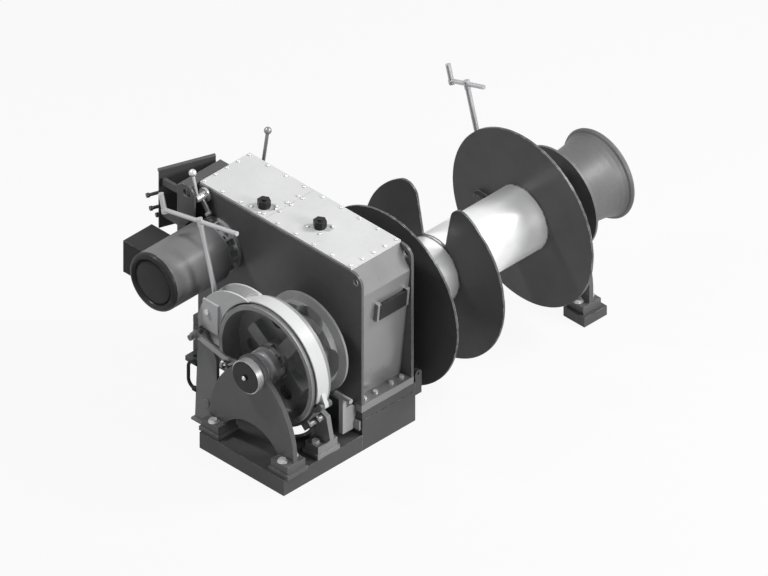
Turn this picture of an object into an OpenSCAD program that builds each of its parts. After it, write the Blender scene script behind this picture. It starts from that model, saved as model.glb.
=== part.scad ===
// Deck winch on one horizontal shaft: chain wheel, gearcase, notched rope drum and warping head.
// X runs along the shaft from the chain wheel to the warping head, Z up, deck at Z = 0.
// The origin lies on the deck, under the shaft, in the middle plane of the gearcase.

/* [Shaft] */
// Height of the shaft axis above the deck
axis_h = 565; // [540:5:620]
// Radius of the main shaft
shaft_r = 60; // [50:1:66]
// Radial running clearance between a shaft and its bush
run_clear = 0.06; // [0.03:0.01:0.1]
// Radial clearance around a shaft where it only passes through
pass_clear = 3; // [2:0.5:5]
// Wall of a bronze bush
bush_wall = 9; // [7:1:11]
// Gap kept between neighbours on the shaft
end_gap = 4; // [2:0.5:6]

/* [Gearcase] */
// Depth of the gearcase along the shaft
case_d = 368; // [340:2:400]
// Right end of the gearcase, measured from the shaft axis
case_right = 298; // [290:2:320]
// Left end of the gearcase, measured from the shaft axis
case_left = 858; // [850:2:900]
// Height of the gearcase top above the shaft axis
case_top = 497; // [480:2:520]
// Height of the foot flange top above the deck
foot_h = 275; // [255:2:280]
// Thickness of the foot flange
foot_t = 40; // [30:1:45]
// Thickness of the two side plates
side_t = 16; // [12:1:20]
// Thickness of the shell wall between the side plates
shell_t = 12; // [8:1:16]
// Set-back of the right wall at its bottom
right_lean = 74; // [60:2:80]
// Corner radius of the side plates
side_corner = 65; // [50:5:80]
// Radius of the lifting holes
lift_hole_r = 20; // [14:1:24]
// Thickness of the top cover
cover_t = 13; // [8:1:16]

/* [Base] */
// Height of the front base
base_h = 95; // [80:1:110]
// Length of the front base along the shaft
base_len = 556; // [550:2:570]
// Half width of the front base
base_half = 298; // [290:2:310]
// Plate thickness of the base and the gear bed
base_t = 15; // [10:1:20]
// How far the gear bed reaches past the left end of the gearcase
bed_over = 41; // [20:1:60]
// Radius of the chain pipe's bore
pipe_r = 82; // [70:1:90]
// Radius of a hold-down hole in the base
hold_r = 13; // [9:1:16]

/* [Pedestals] */
// Thickness of a pedestal plate
ped_t = 28; // [20:1:32]
// Outer radius of a bearing housing
housing_r = 92; // [88:1:100]
// Length of a bearing housing
housing_len = 84; // [76:1:90]
// Height of a pedestal foot above its pad
foot_block_h = 45; // [35:1:50]
// Thickness of the pad under a pedestal foot
pad_t = 25; // [15:1:30]
// Thickness of the deck pad under the far pedestal
deck_pad_t = 55; // [45:1:60]
// Radius of the pedestal plate's curved edges
ped_edge_r = 511; // [500:1:530]
// Radius of the arch under the pedestal plate
ped_arch_r = 234; // [220:1:240]
// Shank radius of the foot bolts
foot_bolt_r = 12; // [10:1:14]

/* [Chain wheel] */
// Width of the chain wheel
wheel_w = 180; // [170:1:190]
// Outer radius of the chain wheel's flanges
wheel_r = 276; // [268:1:284]
// Radius of the chain wheel's root between the flanges
wheel_root_r = 190; // [180:1:200]
// Number of link pockets
pockets = 5; // [5:1:6]
// Gap from the chain wheel to the gearcase
wheel_gap = 70; // [60:1:80]
// Width of the brake drum
brake_w = 132; // [126:1:140]
// Outer radius of the chain wheel's brake drum
brake_r = 330; // [320:1:336]
// Thickness of the brake drum's rim
brake_rim_t = 30; // [22:1:34]
// Thickness of the disc that carries the rim
brake_disc_t = 18; // [14:1:24]
// Outer radius of the hub and its jaws
hub_r = 97; // [94:1:104]
// Depth of the jaws
jaw_depth = 24; // [18:1:28]
// Number of jaws on each half of the clutch
jaw_count = 5; // [4:1:6]

/* [Brakes] */
// Width of a brake band
band_w = 78; // [60:1:84]
// Thickness of a brake band's steel strap
strap_t = 8; // [6:1:10]
// Thickness of a brake lining
lining_t = 7; // [5:1:9]
// Gap between a lining and its drum
lining_gap = 0.5; // [0.3:0.1:1]
// Thickness of the cheek plates at a band's ends
cheek_t = 10; // [8:1:12]
// Radius of a brake screw
screw_r = 14; // [11:1:15]
// Tilt of the brake screws away from upright, in degrees
screw_tilt = 15.5; // [13:0.5:17]
// Height of the near crank handle above the shaft axis
near_crank_h = 590; // [570:2:610]
// Length of the near crank's bar
near_bar = 595; // [500:5:640]
// Height of the far crank handle above the shaft axis
far_crank_h = 523; // [500:2:540]
// Length of the far crank's bar
far_bar = 236; // [200:2:300]
// Radius of the crank bars
bar_r = 12; // [10:1:14]
// Radius of the far brake drum
far_brake_r = 270; // [262:1:276]

/* [Rope drum] */
// Radius of the drum barrel
barrel_r = 180; // [170:1:200]
// Wall of the drum barrel
barrel_wall = 18; // [14:1:22]
// Radius of the drum flanges
flange_r = 493; // [480:1:505]
// Thickness of the drum flanges
flange_t = 12; // [10:1:16]
// Gap from the gearcase to the near drum flange
drum_gap = 112; // [108:1:124]
// Clear width between the near and the middle flange
narrow_w = 316; // [290:2:340]
// Clear width between the middle and the far flange
wide_w = 615; // [590:5:650]

/* [Warping head] */
// Length of the warping head
head_len = 318; // [300:2:340]
// Radius of the warping head's waist
head_waist_r = 203; // [195:1:210]
// Radius of the warping head's flared end
head_end_r = 248; // [240:1:256]
// Radius of the warping head's inner flange
head_flange_r = 287; // [280:1:292]

/* [Motor] */
// Distance of the motor axis from the shaft axis, towards the left
motor_y = 700; // [690:1:710]
// Height of the motor axis above the shaft axis
motor_z = 208; // [200:1:216]
// Radius of the motor body
motor_r = 163; // [155:1:168]
// Length of the motor from its flange to its end cover
motor_len = 490; // [460:2:520]
// Radius of the motor flange
motor_flange_r = 150; // [144:1:153]
// Thickness of the motor flange
motor_flange_t = 18; // [14:1:22]
// Radius of the motor shaft
motor_shaft_r = 24; // [20:1:28]

/* [Gears] */
// Teeth of the main gear
main_teeth = 56; // [54:1:57]
// Face width of the gears
gear_face = 80; // [60:2:90]

/* [Hidden] */
$fn = 96;
gear_module = 8;

// Stations along the shaft
case_x0 = -case_d / 2;
case_x1 = case_d / 2;
wheel_x1 = case_x0 - wheel_gap;
wheel_x0 = wheel_x1 - wheel_w;
brake_x0 = wheel_x0 - brake_w;
hub_recess = 70;
hub_x0 = brake_x0 + hub_recess;
jaw_gap = 3.5;
jaw_end_gap = 0.5;
jaw_tip_x = hub_x0 - jaw_depth;
sleeve_len = 72;
sleeve_x1 = jaw_tip_x - jaw_gap - jaw_depth;
sleeve_x0 = sleeve_x1 - sleeve_len;
clutch_travel = jaw_depth + jaw_gap - jaw_end_gap;
front_house_x1 = sleeve_x0 - end_gap;
front_house_x0 = front_house_x1 - housing_len;
front_ped_x0 = front_house_x0 + 42;
base_x1 = case_x0 + 6;
base_x0 = base_x1 - base_len;
near_flange_x0 = case_x1 + drum_gap;
mid_flange_x0 = near_flange_x0 + flange_t + narrow_w;
far_flange_x0 = mid_flange_x0 + flange_t + wide_w;
far_flange_x1 = far_flange_x0 + flange_t;
far_house_x0 = far_flange_x1 + brake_w + end_gap;
far_house_x1 = far_house_x0 + housing_len;
far_ped_x0 = far_house_x0 + (housing_len - ped_t) / 2;
head_x0 = far_house_x1 + end_gap;
head_x1 = head_x0 + head_len;
shaft_x0 = front_house_x0 + 14;
shaft_x1 = head_x1 - 20;

// Heights
case_z1 = axis_h + case_top;
bush_r = shaft_r + run_clear + bush_wall;
bore_r = shaft_r + run_clear;
front_plate_z0 = base_h + pad_t + foot_block_h;
far_plate_z0 = deck_pad_t + foot_block_h;

// Geometry helpers. Shapes along X are built about the shaft axis.
module along_x(x0, y = 0, z = 0) translate([x0, y, axis_h + z]) rotate([90, 0, 90]) children();
module rod_x(x0, x1, r, y = 0, z = 0) along_x(x0, y, z) cylinder(h = x1 - x0, r = r);
module tube_x(x0, x1, ro, ri, y = 0, z = 0) difference() {
    rod_x(x0, x1, ro, y, z);
    rod_x(x0 - 1, x1 + 1, ri, y, z);
}
module plate_x(x0, t) translate([x0, 0, axis_h]) rotate([90, 0, 90]) linear_extrude(t) children();
module rod_y(y0, y1, r, x, z) translate([x, y0, z]) rotate([-90, 0, 0]) cylinder(h = y1 - y0, r = r);
module block(x0, x1, y0, y1, z0, z1) translate([x0, y0, z0]) cube([x1 - x0, y1 - y0, z1 - z0]);
module hex_bolt(r, len, head_h) {
    translate([0, 0, -len]) cylinder(h = len, r = r, $fn = 24);
    cylinder(h = head_h, r = r * 1.75, $fn = 6);
}
function polar(r, a) = [r * cos(a), r * sin(a)];
// Sector of a disc from angle a0 to a1, up to 180 degrees wide, as a polygon
module sector(r, a0, a1, n = 8) polygon(concat([[0, 0]],
    [for (i = [0:n]) polar(r / cos((a1 - a0) / n / 2), a0 + (a1 - a0) * i / n)]));

// Pedestals: a pointed plate with an arch underneath, on two bolted feet
foot_in = 190;
foot_out = 298;
foot_half_x = 62;
module ped_outline(z0) {
    arc_c = foot_out - ped_edge_r;
    arc_z = foot_z_ref;
    difference() {
        union() {
            intersection() {
                translate([arc_c, arc_z]) circle(ped_edge_r);
                translate([-arc_c, arc_z]) circle(ped_edge_r);
                translate([-foot_out - 1, arc_z]) square([2 * foot_out + 2, ped_edge_r * 2]);
            }
            if (z0 < arc_z) translate([-foot_out, z0]) square([2 * foot_out, arc_z - z0 + 0.01]);
            circle(housing_r + 10);
        }
        translate([0, z0 - sqrt(ped_arch_r * ped_arch_r - foot_in * foot_in)]) circle(ped_arch_r);
        circle(housing_r);
    }
}
foot_z_ref = base_h + pad_t + foot_block_h - axis_h + 8;
module foot_blocks(x_mid, z0) for (s = [-1, 1]) difference() {
    block(x_mid - foot_half_x, x_mid + foot_half_x, s > 0 ? foot_in - 4 : -foot_out - 6,
        s > 0 ? foot_out + 6 : -foot_in + 4, z0, z0 + foot_block_h);
    for (k = [-1, 1]) translate([x_mid + k * bolt_off_x, s * (foot_in + foot_out) / 2, z0 - 1])
        cylinder(h = foot_block_h + 2, r = foot_bolt_r + bolt_clear);
}
bolt_off_x = 38;
bolt_clear = 1;
module pedestal(x0, z0) {
    plate_x(x0, ped_t) ped_outline(z0 - axis_h);
    foot_blocks(x0 + ped_t / 2, z0 - foot_block_h);
}

front_ped_mid = front_ped_x0 + ped_t / 2;
far_ped_mid = far_ped_x0 + ped_t / 2;
module front_pedestal() color([0.42, 0.42, 0.42]) {
    pedestal(front_ped_x0, front_plate_z0);
    for (s = [-1, 1]) difference() {
        block(front_ped_mid - foot_half_x - 9, front_ped_mid + foot_half_x + 9,
            s > 0 ? foot_in - 12 : -foot_out - 16, s > 0 ? foot_out + 16 : -foot_in + 12, base_h,
                base_h + pad_t);
        for (k = [-1, 1]) translate([front_ped_mid + k * bolt_off_x, s * (foot_in + foot_out) / 2,
            base_h - 1])
            cylinder(h = pad_t + 2, r = foot_bolt_r + bolt_clear);
    }
}
module far_pedestal() color([0.42, 0.42, 0.42]) pedestal(far_ped_x0, far_plate_z0);
module far_deck_pads() color([0.36, 0.36, 0.36]) for (s = [-1, 1]) difference() {
    block(far_ped_mid - 80, far_ped_mid + 80, s > 0 ? foot_in - 10 : -foot_out - 30,
        s > 0 ? foot_out + 30 : -foot_in + 10, 0, deck_pad_t);
    for (k = [-1, 1]) translate([far_ped_mid + k * bolt_off_x, s * (foot_in + foot_out) / 2, -1])
        cylinder(h = deck_pad_t + 2, r = foot_bolt_r + bolt_clear);
}
module housing(x0) tube_x(x0, x0 + housing_len, housing_r, bush_r);
module bush(x0, len) tube_x(x0, x0 + len, bush_r, bore_r);
module bearing_housings() color([0.75, 0.75, 0.75]) {
    housing(front_house_x0);
    housing(far_house_x0);
}
module bearing_bushes() color([0.72, 0.55, 0.3]) {
    bush(front_house_x0 + 12, housing_len - 12);
    bush(far_house_x0, housing_len);
}
module front_bearing_cap() color([0.12, 0.12, 0.12]) difference() {
    union() {
        rod_x(front_house_x0 - 4, front_house_x0, housing_r - 5);
        rod_x(front_house_x0 - 0.5, front_house_x0 + 8, bush_r - 0.05);
        rod_x(front_house_x0 - 10, front_house_x0 - 3.5, 16);
    }
    translate([front_house_x0 - 10.5, 0, axis_h]) rotate([0, 90, 0]) cylinder(h = 4, r = 5, $fn = 6);
}

// Bolts of the pedestal feet, all in one group
module foot_bolt_set(x_mid, z_head, len) for (s = [-1, 1], k = [-1, 1])
    translate([x_mid + k * bolt_off_x, s * (foot_in + foot_out) / 2, z_head]) hex_bolt(foot_bolt_r,
        len, 15);
module foot_bolts() color([0.8, 0.8, 0.8]) {
    foot_bolt_set(front_ped_mid, front_plate_z0, foot_block_h + pad_t + base_t + 10);
    foot_bolt_set(far_ped_mid, far_plate_z0, foot_block_h + deck_pad_t - 8);
    translate([strut_x + strut_t / 2, strut_y0 + strut_foot_w / 2, strut_z0]) for (k = [-1, 1])
        translate([k * strut_bolt_off, 0, 0]) hex_bolt(foot_bolt_r, strut_foot_h + base_t + 10, 15);
}

// Front base: a box open from below, with the chain pipe's hole in its top
pipe_x = wheel_x0 + 50;
pipe_y = -20;
pipe_ring_h = 32;
pipe_ring_w = 22;
module box_shell(x0, x1, y0, y1, z1, t) difference() {
    block(x0, x1, y0, y1, 0, z1);
    block(x0 + t, x1 - t, y0 + t, y1 - t, -1, z1 - t);
}
module front_base() color([0.4, 0.4, 0.4]) difference() {
    box_shell(base_x0, base_x1 - 0.5, -base_half, base_half, base_h, base_t);
    translate([pipe_x, pipe_y, -1]) cylinder(h = base_h + 2, r = pipe_r);
    for (s = [-1, 1], k = [-1, 1]) translate([front_ped_mid + k * bolt_off_x,
        s * (foot_in + foot_out) / 2, -1])
        cylinder(h = base_h + 2, r = foot_bolt_r + bolt_clear);
    for (k = [-1, 1]) translate([strut_x + strut_t / 2 + k * strut_bolt_off,
        strut_y0 + strut_foot_w / 2, -1])
        cylinder(h = base_h + 2, r = foot_bolt_r + bolt_clear);
}
module chain_pipe_ring() color([0.25, 0.25, 0.25]) translate([pipe_x, pipe_y, base_h]) rotate_extrude() {
    translate([pipe_r, 0]) square([pipe_ring_w, pipe_ring_h - pipe_ring_w / 2]);
    translate([pipe_r + pipe_ring_w / 2, pipe_ring_h - pipe_ring_w / 2]) circle(pipe_ring_w / 2);
}

// Strut that holds the band's joint, on its own foot at the base's right edge
strut_x = brake_x0 + (brake_w - 42) / 2 + 94;
strut_t = 28;
strut_foot_w = 104;
strut_foot_h = 70;
strut_y0 = -base_half + 2;
strut_z0 = base_h + strut_foot_h;
strut_bolt_off = 42;

// Gear bed under the gearcase
bed_x0 = case_x0 + 6;
bed_x1 = case_x1 + 12;
bed_y0 = -case_right;
bed_y1 = case_left + bed_over;
bed_top = foot_h - foot_t;
bed_seam = 182;
module gear_bed() color([0.4, 0.4, 0.4]) difference() {
    box_shell(bed_x0, bed_x1, bed_y0, bed_y1, bed_top, base_t);
    difference() {
        block(bed_x0 - 1, bed_x1 + 1, bed_y0 - 1, bed_y1 + 1, bed_seam, bed_seam + 5);
        block(bed_x0 + 3, bed_x1 - 3, bed_y0 + 3, bed_y1 - 3, bed_seam - 1, bed_seam + 6);
    }
    foot_bolt_places() translate([0, 0, -foot_t - base_t - 1]) cylinder(h = foot_t + base_t + 2,
        r = flange_hole_r);
}
// Hold-down lugs of the gear bed, and the upright stop at its right rear corner
lug_len = 70;
lug_w = 80;
lug_h = 28;
lug_y0 = 345;
lug_y1 = 845;
lug_off = lug_len / 2;
module bed_lugs() color([0.38, 0.38, 0.38]) {
    for (y = [lug_y0, lug_y1], s = [-1, 1]) difference() {
        block(s < 0 ? bed_x0 - lug_len : bed_x1, s < 0 ? bed_x0 : bed_x1 + lug_len, y - lug_w / 2,
            y + lug_w / 2, 0, lug_h);
        translate([s < 0 ? bed_x0 - lug_off : bed_x1 + lug_off, y, -1]) cylinder(h = lug_h + 2, r = hold_r);
    }
    difference() {
        union() {
            block(bed_x1, bed_x1 + 44, bed_y0, bed_y0 + 26, bed_seam - 30, bed_top + 40);
            translate([bed_x1 + 22, bed_y0 + 26, bed_top + 40]) rotate([90, 0, 0]) cylinder(h = 26, r = 22);
        }
        translate([bed_x1 + 22, bed_y0 + 27, bed_top + 40]) rotate([90, 0, 0]) cylinder(h = 28, r = 8);
    }
}

// Gearcase: two side plates with the shell between them
side_z0 = foot_h - axis_h;
function arc(c, r, a0, a1, n = 8) = [for (i = [0:n]) c + polar(r, a0 + (a1 - a0) * i / n)];
module side_outline() polygon(concat([[-case_right, side_z0], [case_left, side_z0]],
    arc([case_left - 12, case_top - 12], 12, 0, 90, 4),
    arc([-case_right + side_corner, case_top - side_corner], side_corner, 90, 180)));
// Centres of the gear shafts, worked out from the tooth numbers and the motor's place
second_teeth = 52;
third_teeth = 36;
pinion_teeth = 16;
motor_teeth = 12;
d1 = gear_module * (main_teeth + pinion_teeth) / 2;
d2 = gear_module * (second_teeth + pinion_teeth) / 2;
d3 = gear_module * (third_teeth + motor_teeth) / 2;
motor_d = sqrt(motor_y * motor_y + motor_z * motor_z);
motor_a = atan2(motor_z, motor_y);
third_d = (motor_d - d3 + d1 + d2) / 2;
third_a = motor_a + acos((motor_d * motor_d + third_d * third_d - d3 * d3) / (2 * motor_d * third_d));
second_a = third_a - acos((d1 * d1 + third_d * third_d - d2 * d2) / (2 * d1 * third_d));
c2 = polar(d1, second_a);
c3 = polar(third_d, third_a);
cm = [motor_y, motor_z];
gear_journal_r = 26;
gear_bush_r = gear_journal_r + run_clear + 6;
boss_wall = 20;
gear_boss_len = 34;
main_boss_len = 40;
blind_wall = 5;
motor_bore_r = 62;
shift_shaft_r = 14;
shift_y = case_left - 58;
shift_z = case_top - 34;
lift_y = -case_right + 43;
lift_z = case_top - 50;
// x_out is the plate's outer face and dir points into the gearcase
module side_plate(x_out, dir) {
    x_a = dir > 0 ? x_out : x_out - side_t;
    boss_a = dir > 0 ? x_out + side_t : x_out - side_t - main_boss_len;
    gear_a = dir > 0 ? x_out + side_t : x_out - side_t - gear_boss_len;
    blind_a = dir > 0 ? x_out + blind_wall : x_out - side_t - gear_boss_len - 1;
    difference() {
        union() {
            plate_x(x_a, side_t) side_outline();
            rod_x(boss_a, boss_a + main_boss_len, bush_r + boss_wall);
            for (c = [c2, c3]) rod_x(gear_a, gear_a + gear_boss_len, gear_bush_r + boss_wall, c[0], c[1]);
        }
        rod_x(min(x_a, boss_a) - 1, max(x_a + side_t, boss_a + main_boss_len) + 1, bush_r);
        for (c = [c2, c3]) rod_x(blind_a, blind_a + side_t + gear_boss_len - blind_wall + 1,
            gear_bush_r, c[0], c[1]);
        rod_x(x_a - 1, x_a + side_t + 1, lift_hole_r, lift_y, lift_z);
        if (dir > 0) {
            rod_x(x_a - 1, x_a + side_t + 1, motor_bore_r, motor_y, motor_z);
            motor_bolt_places() rod_x(x_a - 1, x_a + side_t + 1, motor_bolt_r);
            rod_x(x_a - 1, x_a + side_t + 1, shift_shaft_r + run_clear, shift_y, shift_z);
        }
    }
}
module front_side_plate() color([0.45, 0.45, 0.45]) side_plate(case_x0, 1);
module rear_side_plate() color([0.45, 0.45, 0.45]) side_plate(case_x1, -1);
shell_x0 = case_x0 + side_t;
shell_x1 = case_x1 - side_t;
wall_break_z = 366;
chamfer_y = -case_right + 82;
module shell_outline(t) polygon([
    [-case_right + right_lean + t, side_z0 + t], [case_left - 8 - t, side_z0 + t],
    [case_left - 8 - t, case_top + (t > 0 ? 1 : 0)], [chamfer_y + t * 0.6, case_top + (t > 0 ? 1 : 0)],
    [-case_right + 8 + t, wall_break_z - t * 0.4]]);
module gearcase_shell() color([0.62, 0.62, 0.62]) difference() {
    union() {
        plate_x(shell_x0, shell_x1 - shell_x0) difference() {
            shell_outline(0);
            shell_outline(shell_t);
        }
        difference() {
            block(case_x0, case_x1, -case_right, case_left, bed_top, foot_h);
            block(shell_x0 + 40, shell_x1 - 40, -case_right + right_lean + 60, case_left - 60,
                bed_top - 1, foot_h + 1);
        }
    }
    foot_bolt_places() translate([0, 0, -foot_t - 1]) cylinder(h = foot_t + 2, r = flange_hole_r);
}
// Pairs of bolts along the foot flange, on both long sides
foot_bolt_x = [-127, -50, 63, 136];
module foot_bolt_places() {
    for (x = foot_bolt_x) translate([x * case_d / 368, -case_right + right_lean / 2, foot_h]) children();
}
flange_hole_r = 8.4;
flange_bolt_r = 7.8;
flange_bolt_len = max(foot_t + base_t + 8, motor_flange_t + side_t + 4);
module flange_bolts() color([0.85, 0.85, 0.85]) {
    foot_bolt_places() hex_bolt(flange_bolt_r, flange_bolt_len, 12);
    motor_bolt_places() translate([motor_x1 - motor_flange_t, 0, axis_h]) rotate([0, -90, 0])
        hex_bolt(flange_bolt_r, flange_bolt_len, 12);
}

cover_x = case_d / 2 - 8;
module gearcase_cover() color([0.88, 0.88, 0.88]) difference() {
    block(-cover_x, cover_x, chamfer_y, case_left - 6, case_z1, case_z1 + cover_t);
    block(-cover_x - 1, cover_x + 1, seam_y - 1, seam_y + 1, case_z1 - 1, case_z1 + cover_t + 1);
    end_screw_places() translate([0, 0, -cover_t - 1]) cylinder(h = cover_t + 2, r = 4, $fn = 24);
    screw_places() translate([0, 0, -cover_t - 1]) cylinder(h = cover_t + 2, r = 4, $fn = 24);
    vent_places() translate([0, 0, -cover_t - 1]) cylinder(h = cover_t + 2, r = vent_r);
    flange_ring_places() translate([0, 0, -cover_t - 1]) cylinder(h = cover_t + 2, r = 4, $fn = 24);
}
cover_len = case_left - 6 - chamfer_y;
screw_edge = 16;
screws_long = 9;
module screw_places() for (i = [0:screws_long - 1], s = [-1, 1])
    translate([s * (cover_x - screw_edge),
        chamfer_y + screw_edge + i * (cover_len - 2 * screw_edge) / (screws_long - 1),
        case_z1 + cover_t]) children();
seam_y = 396;
module end_screw_places() for (y = [chamfer_y + screw_edge, seam_y - 15, seam_y + 15,
    case_left - 6 - screw_edge], k = [-1, 0, 1])
    translate([k * (cover_x - screw_edge) / 2, y, case_z1 + cover_t]) children();
vent_r = 22;
vents = [[-32, 148], [-105, 471]];
module vent_places() for (v = vents) translate([v[0], v[1], case_z1 + cover_t]) children();
module flange_ring_places() for (v = vents, a = [45:90:315])
    translate([v[0] + 62 * cos(a), v[1] + 62 * sin(a), case_z1 + cover_t]) children();
module cover_screws() color([0.7, 0.7, 0.7]) {
    screw_places() hex_bolt(3.9, cover_t - 1, 5);
    end_screw_places() hex_bolt(3.9, cover_t - 1, 5);
    flange_ring_places() hex_bolt(3.9, cover_t - 1, 5);
}
module vent_plugs() color([0.12, 0.12, 0.12]) vent_places() {
    translate([0, 0, -cover_t + 1]) cylinder(h = cover_t, r = vent_r - 0.2);
    cylinder(h = 8, r = 32);
    translate([0, 0, 7.9]) cylinder(h = 34, r = 36, $fn = 6);
    translate([0, 0, 41.8]) cylinder(h = 8, r = 12);
}

// Bare nameplate held in two raised brackets on the right wall
wall_lean = atan((right_lean - 8) / (wall_break_z - side_z0));
module on_right_wall(x, z) translate([x, wall_y(z), axis_h + z]) rotate([wall_lean, 0, 0]) children();
function wall_y(z) = -case_right + 8 + (wall_break_z - z) * tan(wall_lean);
name_x = 41;
name_z = 219;
name_w = 190;
name_h = 96;
bracket_w = 22;
bracket_h = 108;
bracket_d = 22;
module nameplate_frame() color([0.7, 0.7, 0.7]) on_right_wall(name_x, name_z) for (s = [-1,
    1]) difference() {
    translate([s * (name_w / 2 + bracket_w / 2 - 6) - bracket_w / 2, -bracket_d, -bracket_h / 2])
        cube([bracket_w, bracket_d, bracket_h]);
    translate([-name_w / 2 - 0.2, -bracket_d - 1, -name_h / 2 - 0.2]) cube([name_w + 0.4, 9, name_h + 0.4]);
}
module nameplate() color([0.1, 0.1, 0.1]) on_right_wall(name_x, name_z)
    translate([-name_w / 2, -bracket_d - 2, -name_h / 2]) cube([name_w, 10, name_h]);

// Main shaft with its keys
drum_sleeve_x0 = case_x1 + end_gap;
drum_hub_len = 20;
drum_sleeve_x1 = near_flange_x0 - drum_hub_len - jaw_depth - jaw_gap - jaw_depth;
key_w = 28;
key_in = 8;
key_out = 9;
key_gap = 0.5;
gear_x0 = 42;
gear_x1 = gear_x0 + gear_face;
key_spans = [[sleeve_x0, sleeve_x1 + clutch_travel], [gear_x0, gear_x1],
    [drum_sleeve_x0, drum_sleeve_x1 + clutch_travel], [head_x0 + 10, head_x0 + 150]];
module key_boxes(grow) for (s = key_spans) translate([s[0] - grow, -key_w / 2 - grow,
    axis_h + shaft_r - key_in - grow])
    cube([s[1] - s[0] + 2 * grow, key_w + 2 * grow, key_in + key_out + 2 * grow]);
module keyway(x0, x1) translate([x0, -key_w / 2 - key_gap, axis_h + shaft_r - key_in - key_gap])
    cube([x1 - x0, key_w + 2 * key_gap, key_in + key_out + 2 * key_gap]);
module main_shaft() color([0.7, 0.7, 0.72]) difference() {
    rod_x(shaft_x0, shaft_x1, shaft_r);
    key_boxes(0);
}
module shaft_keys() color([0.6, 0.6, 0.6]) key_boxes(0);

// Gears with straight-flanked teeth. Phase is the direction of one tooth's centre.
module gear_2d(n, phase) {
    pitch = 360 / n;
    r_root = gear_module * (n / 2 - 1.2);
    r_tip = gear_module * (n / 2 + 0.8);
    polygon([for (i = [0:n - 1], p = [[r_root, -0.29], [r_tip, -0.11], [r_tip, 0.11], [r_root, 0.29]])
        polar(p[0], phase + (i + p[1]) * pitch)]);
}
module gear_at(x0, w, c, n, phase, bore) along_x(x0, c[0], c[1]) linear_extrude(w) difference() {
    gear_2d(n, phase);
    if (bore > 0) circle(bore);
}
function dir(a, b) = atan2(b[1] - a[1], b[0] - a[0]);
a12 = dir([0, 0], c2);
a23 = dir(c2, c3);
a34 = dir(c3, cm);
module main_gear() color([0.5, 0.5, 0.5]) difference() {
    union() {
        gear_at(gear_x0, gear_face, [0, 0], main_teeth, a12, gear_module * main_teeth / 2 - 34);
        rod_x(gear_x0 + gear_face / 2 - 12, gear_x0 + gear_face / 2 + 12,
            gear_module * main_teeth / 2 - 33);
        rod_x(gear_x0, gear_x1, shaft_r + 40);
    }
    rod_x(gear_x0 - 1, gear_x1 + 1, shaft_r);
    keyway(gear_x0 - 1, gear_x1 + 1);
    for (a = [30:60:330]) along_x(gear_x0, 145 * cos(a), 145 * sin(a)) cylinder(h = gear_face, r = 30);
}
stage2_w = 66;
stage2_x0 = gear_x0 - 14 - stage2_w;
stage3_w = 52;
stage3_x0 = stage2_x0 - 14 - stage3_w;
module gear_shaft(c) rod_x(case_x0 + blind_wall + 1, case_x1 - blind_wall - 1, gear_journal_r, c[0], c[1]);
module second_shaft_gears() color([0.52, 0.52, 0.52]) {
    gear_shaft(c2);
    gear_at(gear_x0 - 4, gear_face + 8, c2, pinion_teeth, a12 + 180 + 180 / pinion_teeth, 0);
    gear_at(stage2_x0, stage2_w, c2, second_teeth, a23, 0);
}
module third_shaft_gears() color([0.52, 0.52, 0.52]) {
    gear_shaft(c3);
    gear_at(stage2_x0 - 3, stage2_w + 6, c3, pinion_teeth, a23 + 180 + 180 / pinion_teeth, 0);
    gear_at(stage3_x0, stage3_w, c3, third_teeth, a34, 0);
}
module gearcase_bushes() color([0.72, 0.55, 0.3]) {
    for (c = [c2, c3], x = [case_x0 + blind_wall + 0.01, case_x1 - side_t - gear_boss_len])
        tube_x(x, x + side_t + gear_boss_len - blind_wall - 0.01, gear_bush_r,
            gear_journal_r + run_clear, c[0], c[1]);
    bush(case_x0, side_t + main_boss_len);
    bush(case_x1 - side_t - main_boss_len, side_t + main_boss_len);
}

// Motor on the front side plate
motor_x1 = case_x0;
motor_x0 = motor_x1 - motor_len;
bell_len = 66;
body_x0 = motor_x0 + 26;
body_x1 = motor_x1 - motor_flange_t - bell_len;
motor_wall = 20;
motor_bolt_r = flange_hole_r;
motor_bolt_ring = 128;
rotor_r = 110;
module motor_bolt_places() for (a = [22.5:45:337.5]) translate([0, motor_bolt_ring * cos(a) + motor_y,
    motor_bolt_ring * sin(a) + motor_z])
    children();
module motor_shaft_pinion() color([0.6, 0.6, 0.62]) {
    rod_x(body_x0 + 34, stage3_x0 + stage3_w, motor_shaft_r, motor_y, motor_z);
    rod_x(body_x0 + 60, body_x1 - 50, rotor_r, motor_y, motor_z);
    gear_at(stage3_x0 - 3, stage3_w + 6, cm, motor_teeth, a34 + 180 + 180 / motor_teeth, 0);
}
module motor_body() color([0.5, 0.5, 0.5]) along_x(0, motor_y, motor_z)
    rotate_extrude() polygon([[0, body_x0], [motor_r, body_x0], [motor_r, body_x1 - 8], [motor_r - 8,
        body_x1],
        [motor_shaft_r + run_clear, body_x1], [motor_shaft_r + run_clear, body_x1 - 30],
            [motor_r - motor_wall, body_x1 - 30],
        [motor_r - motor_wall, body_x0 + 30], [0, body_x0 + 30]]);
end_dome_r = 118;
module motor_end_cover() color([0.42, 0.42, 0.42]) along_x(0, motor_y,
    motor_z) rotate_extrude() polygon(concat(
    [[0, body_x0]],
    [for (i = [0:6]) [end_dome_r * sin(i * 15), motor_x0 + 14 - 10 * cos(i * 15)]],
    [[end_dome_r + 6, motor_x0 + 20], [end_dome_r + 12, motor_x0 + 10]],
    [for (i = [0:4]) [motor_r - 24 + 24 * sin(i * 22.5), motor_x0 + 24 - 24 * cos(i * 22.5)]],
    [[motor_r, body_x0]]));
conn_x0 = motor_x0 + 70;
conn_len = 202;
conn_h = 190;
conn_out = 268;
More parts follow.
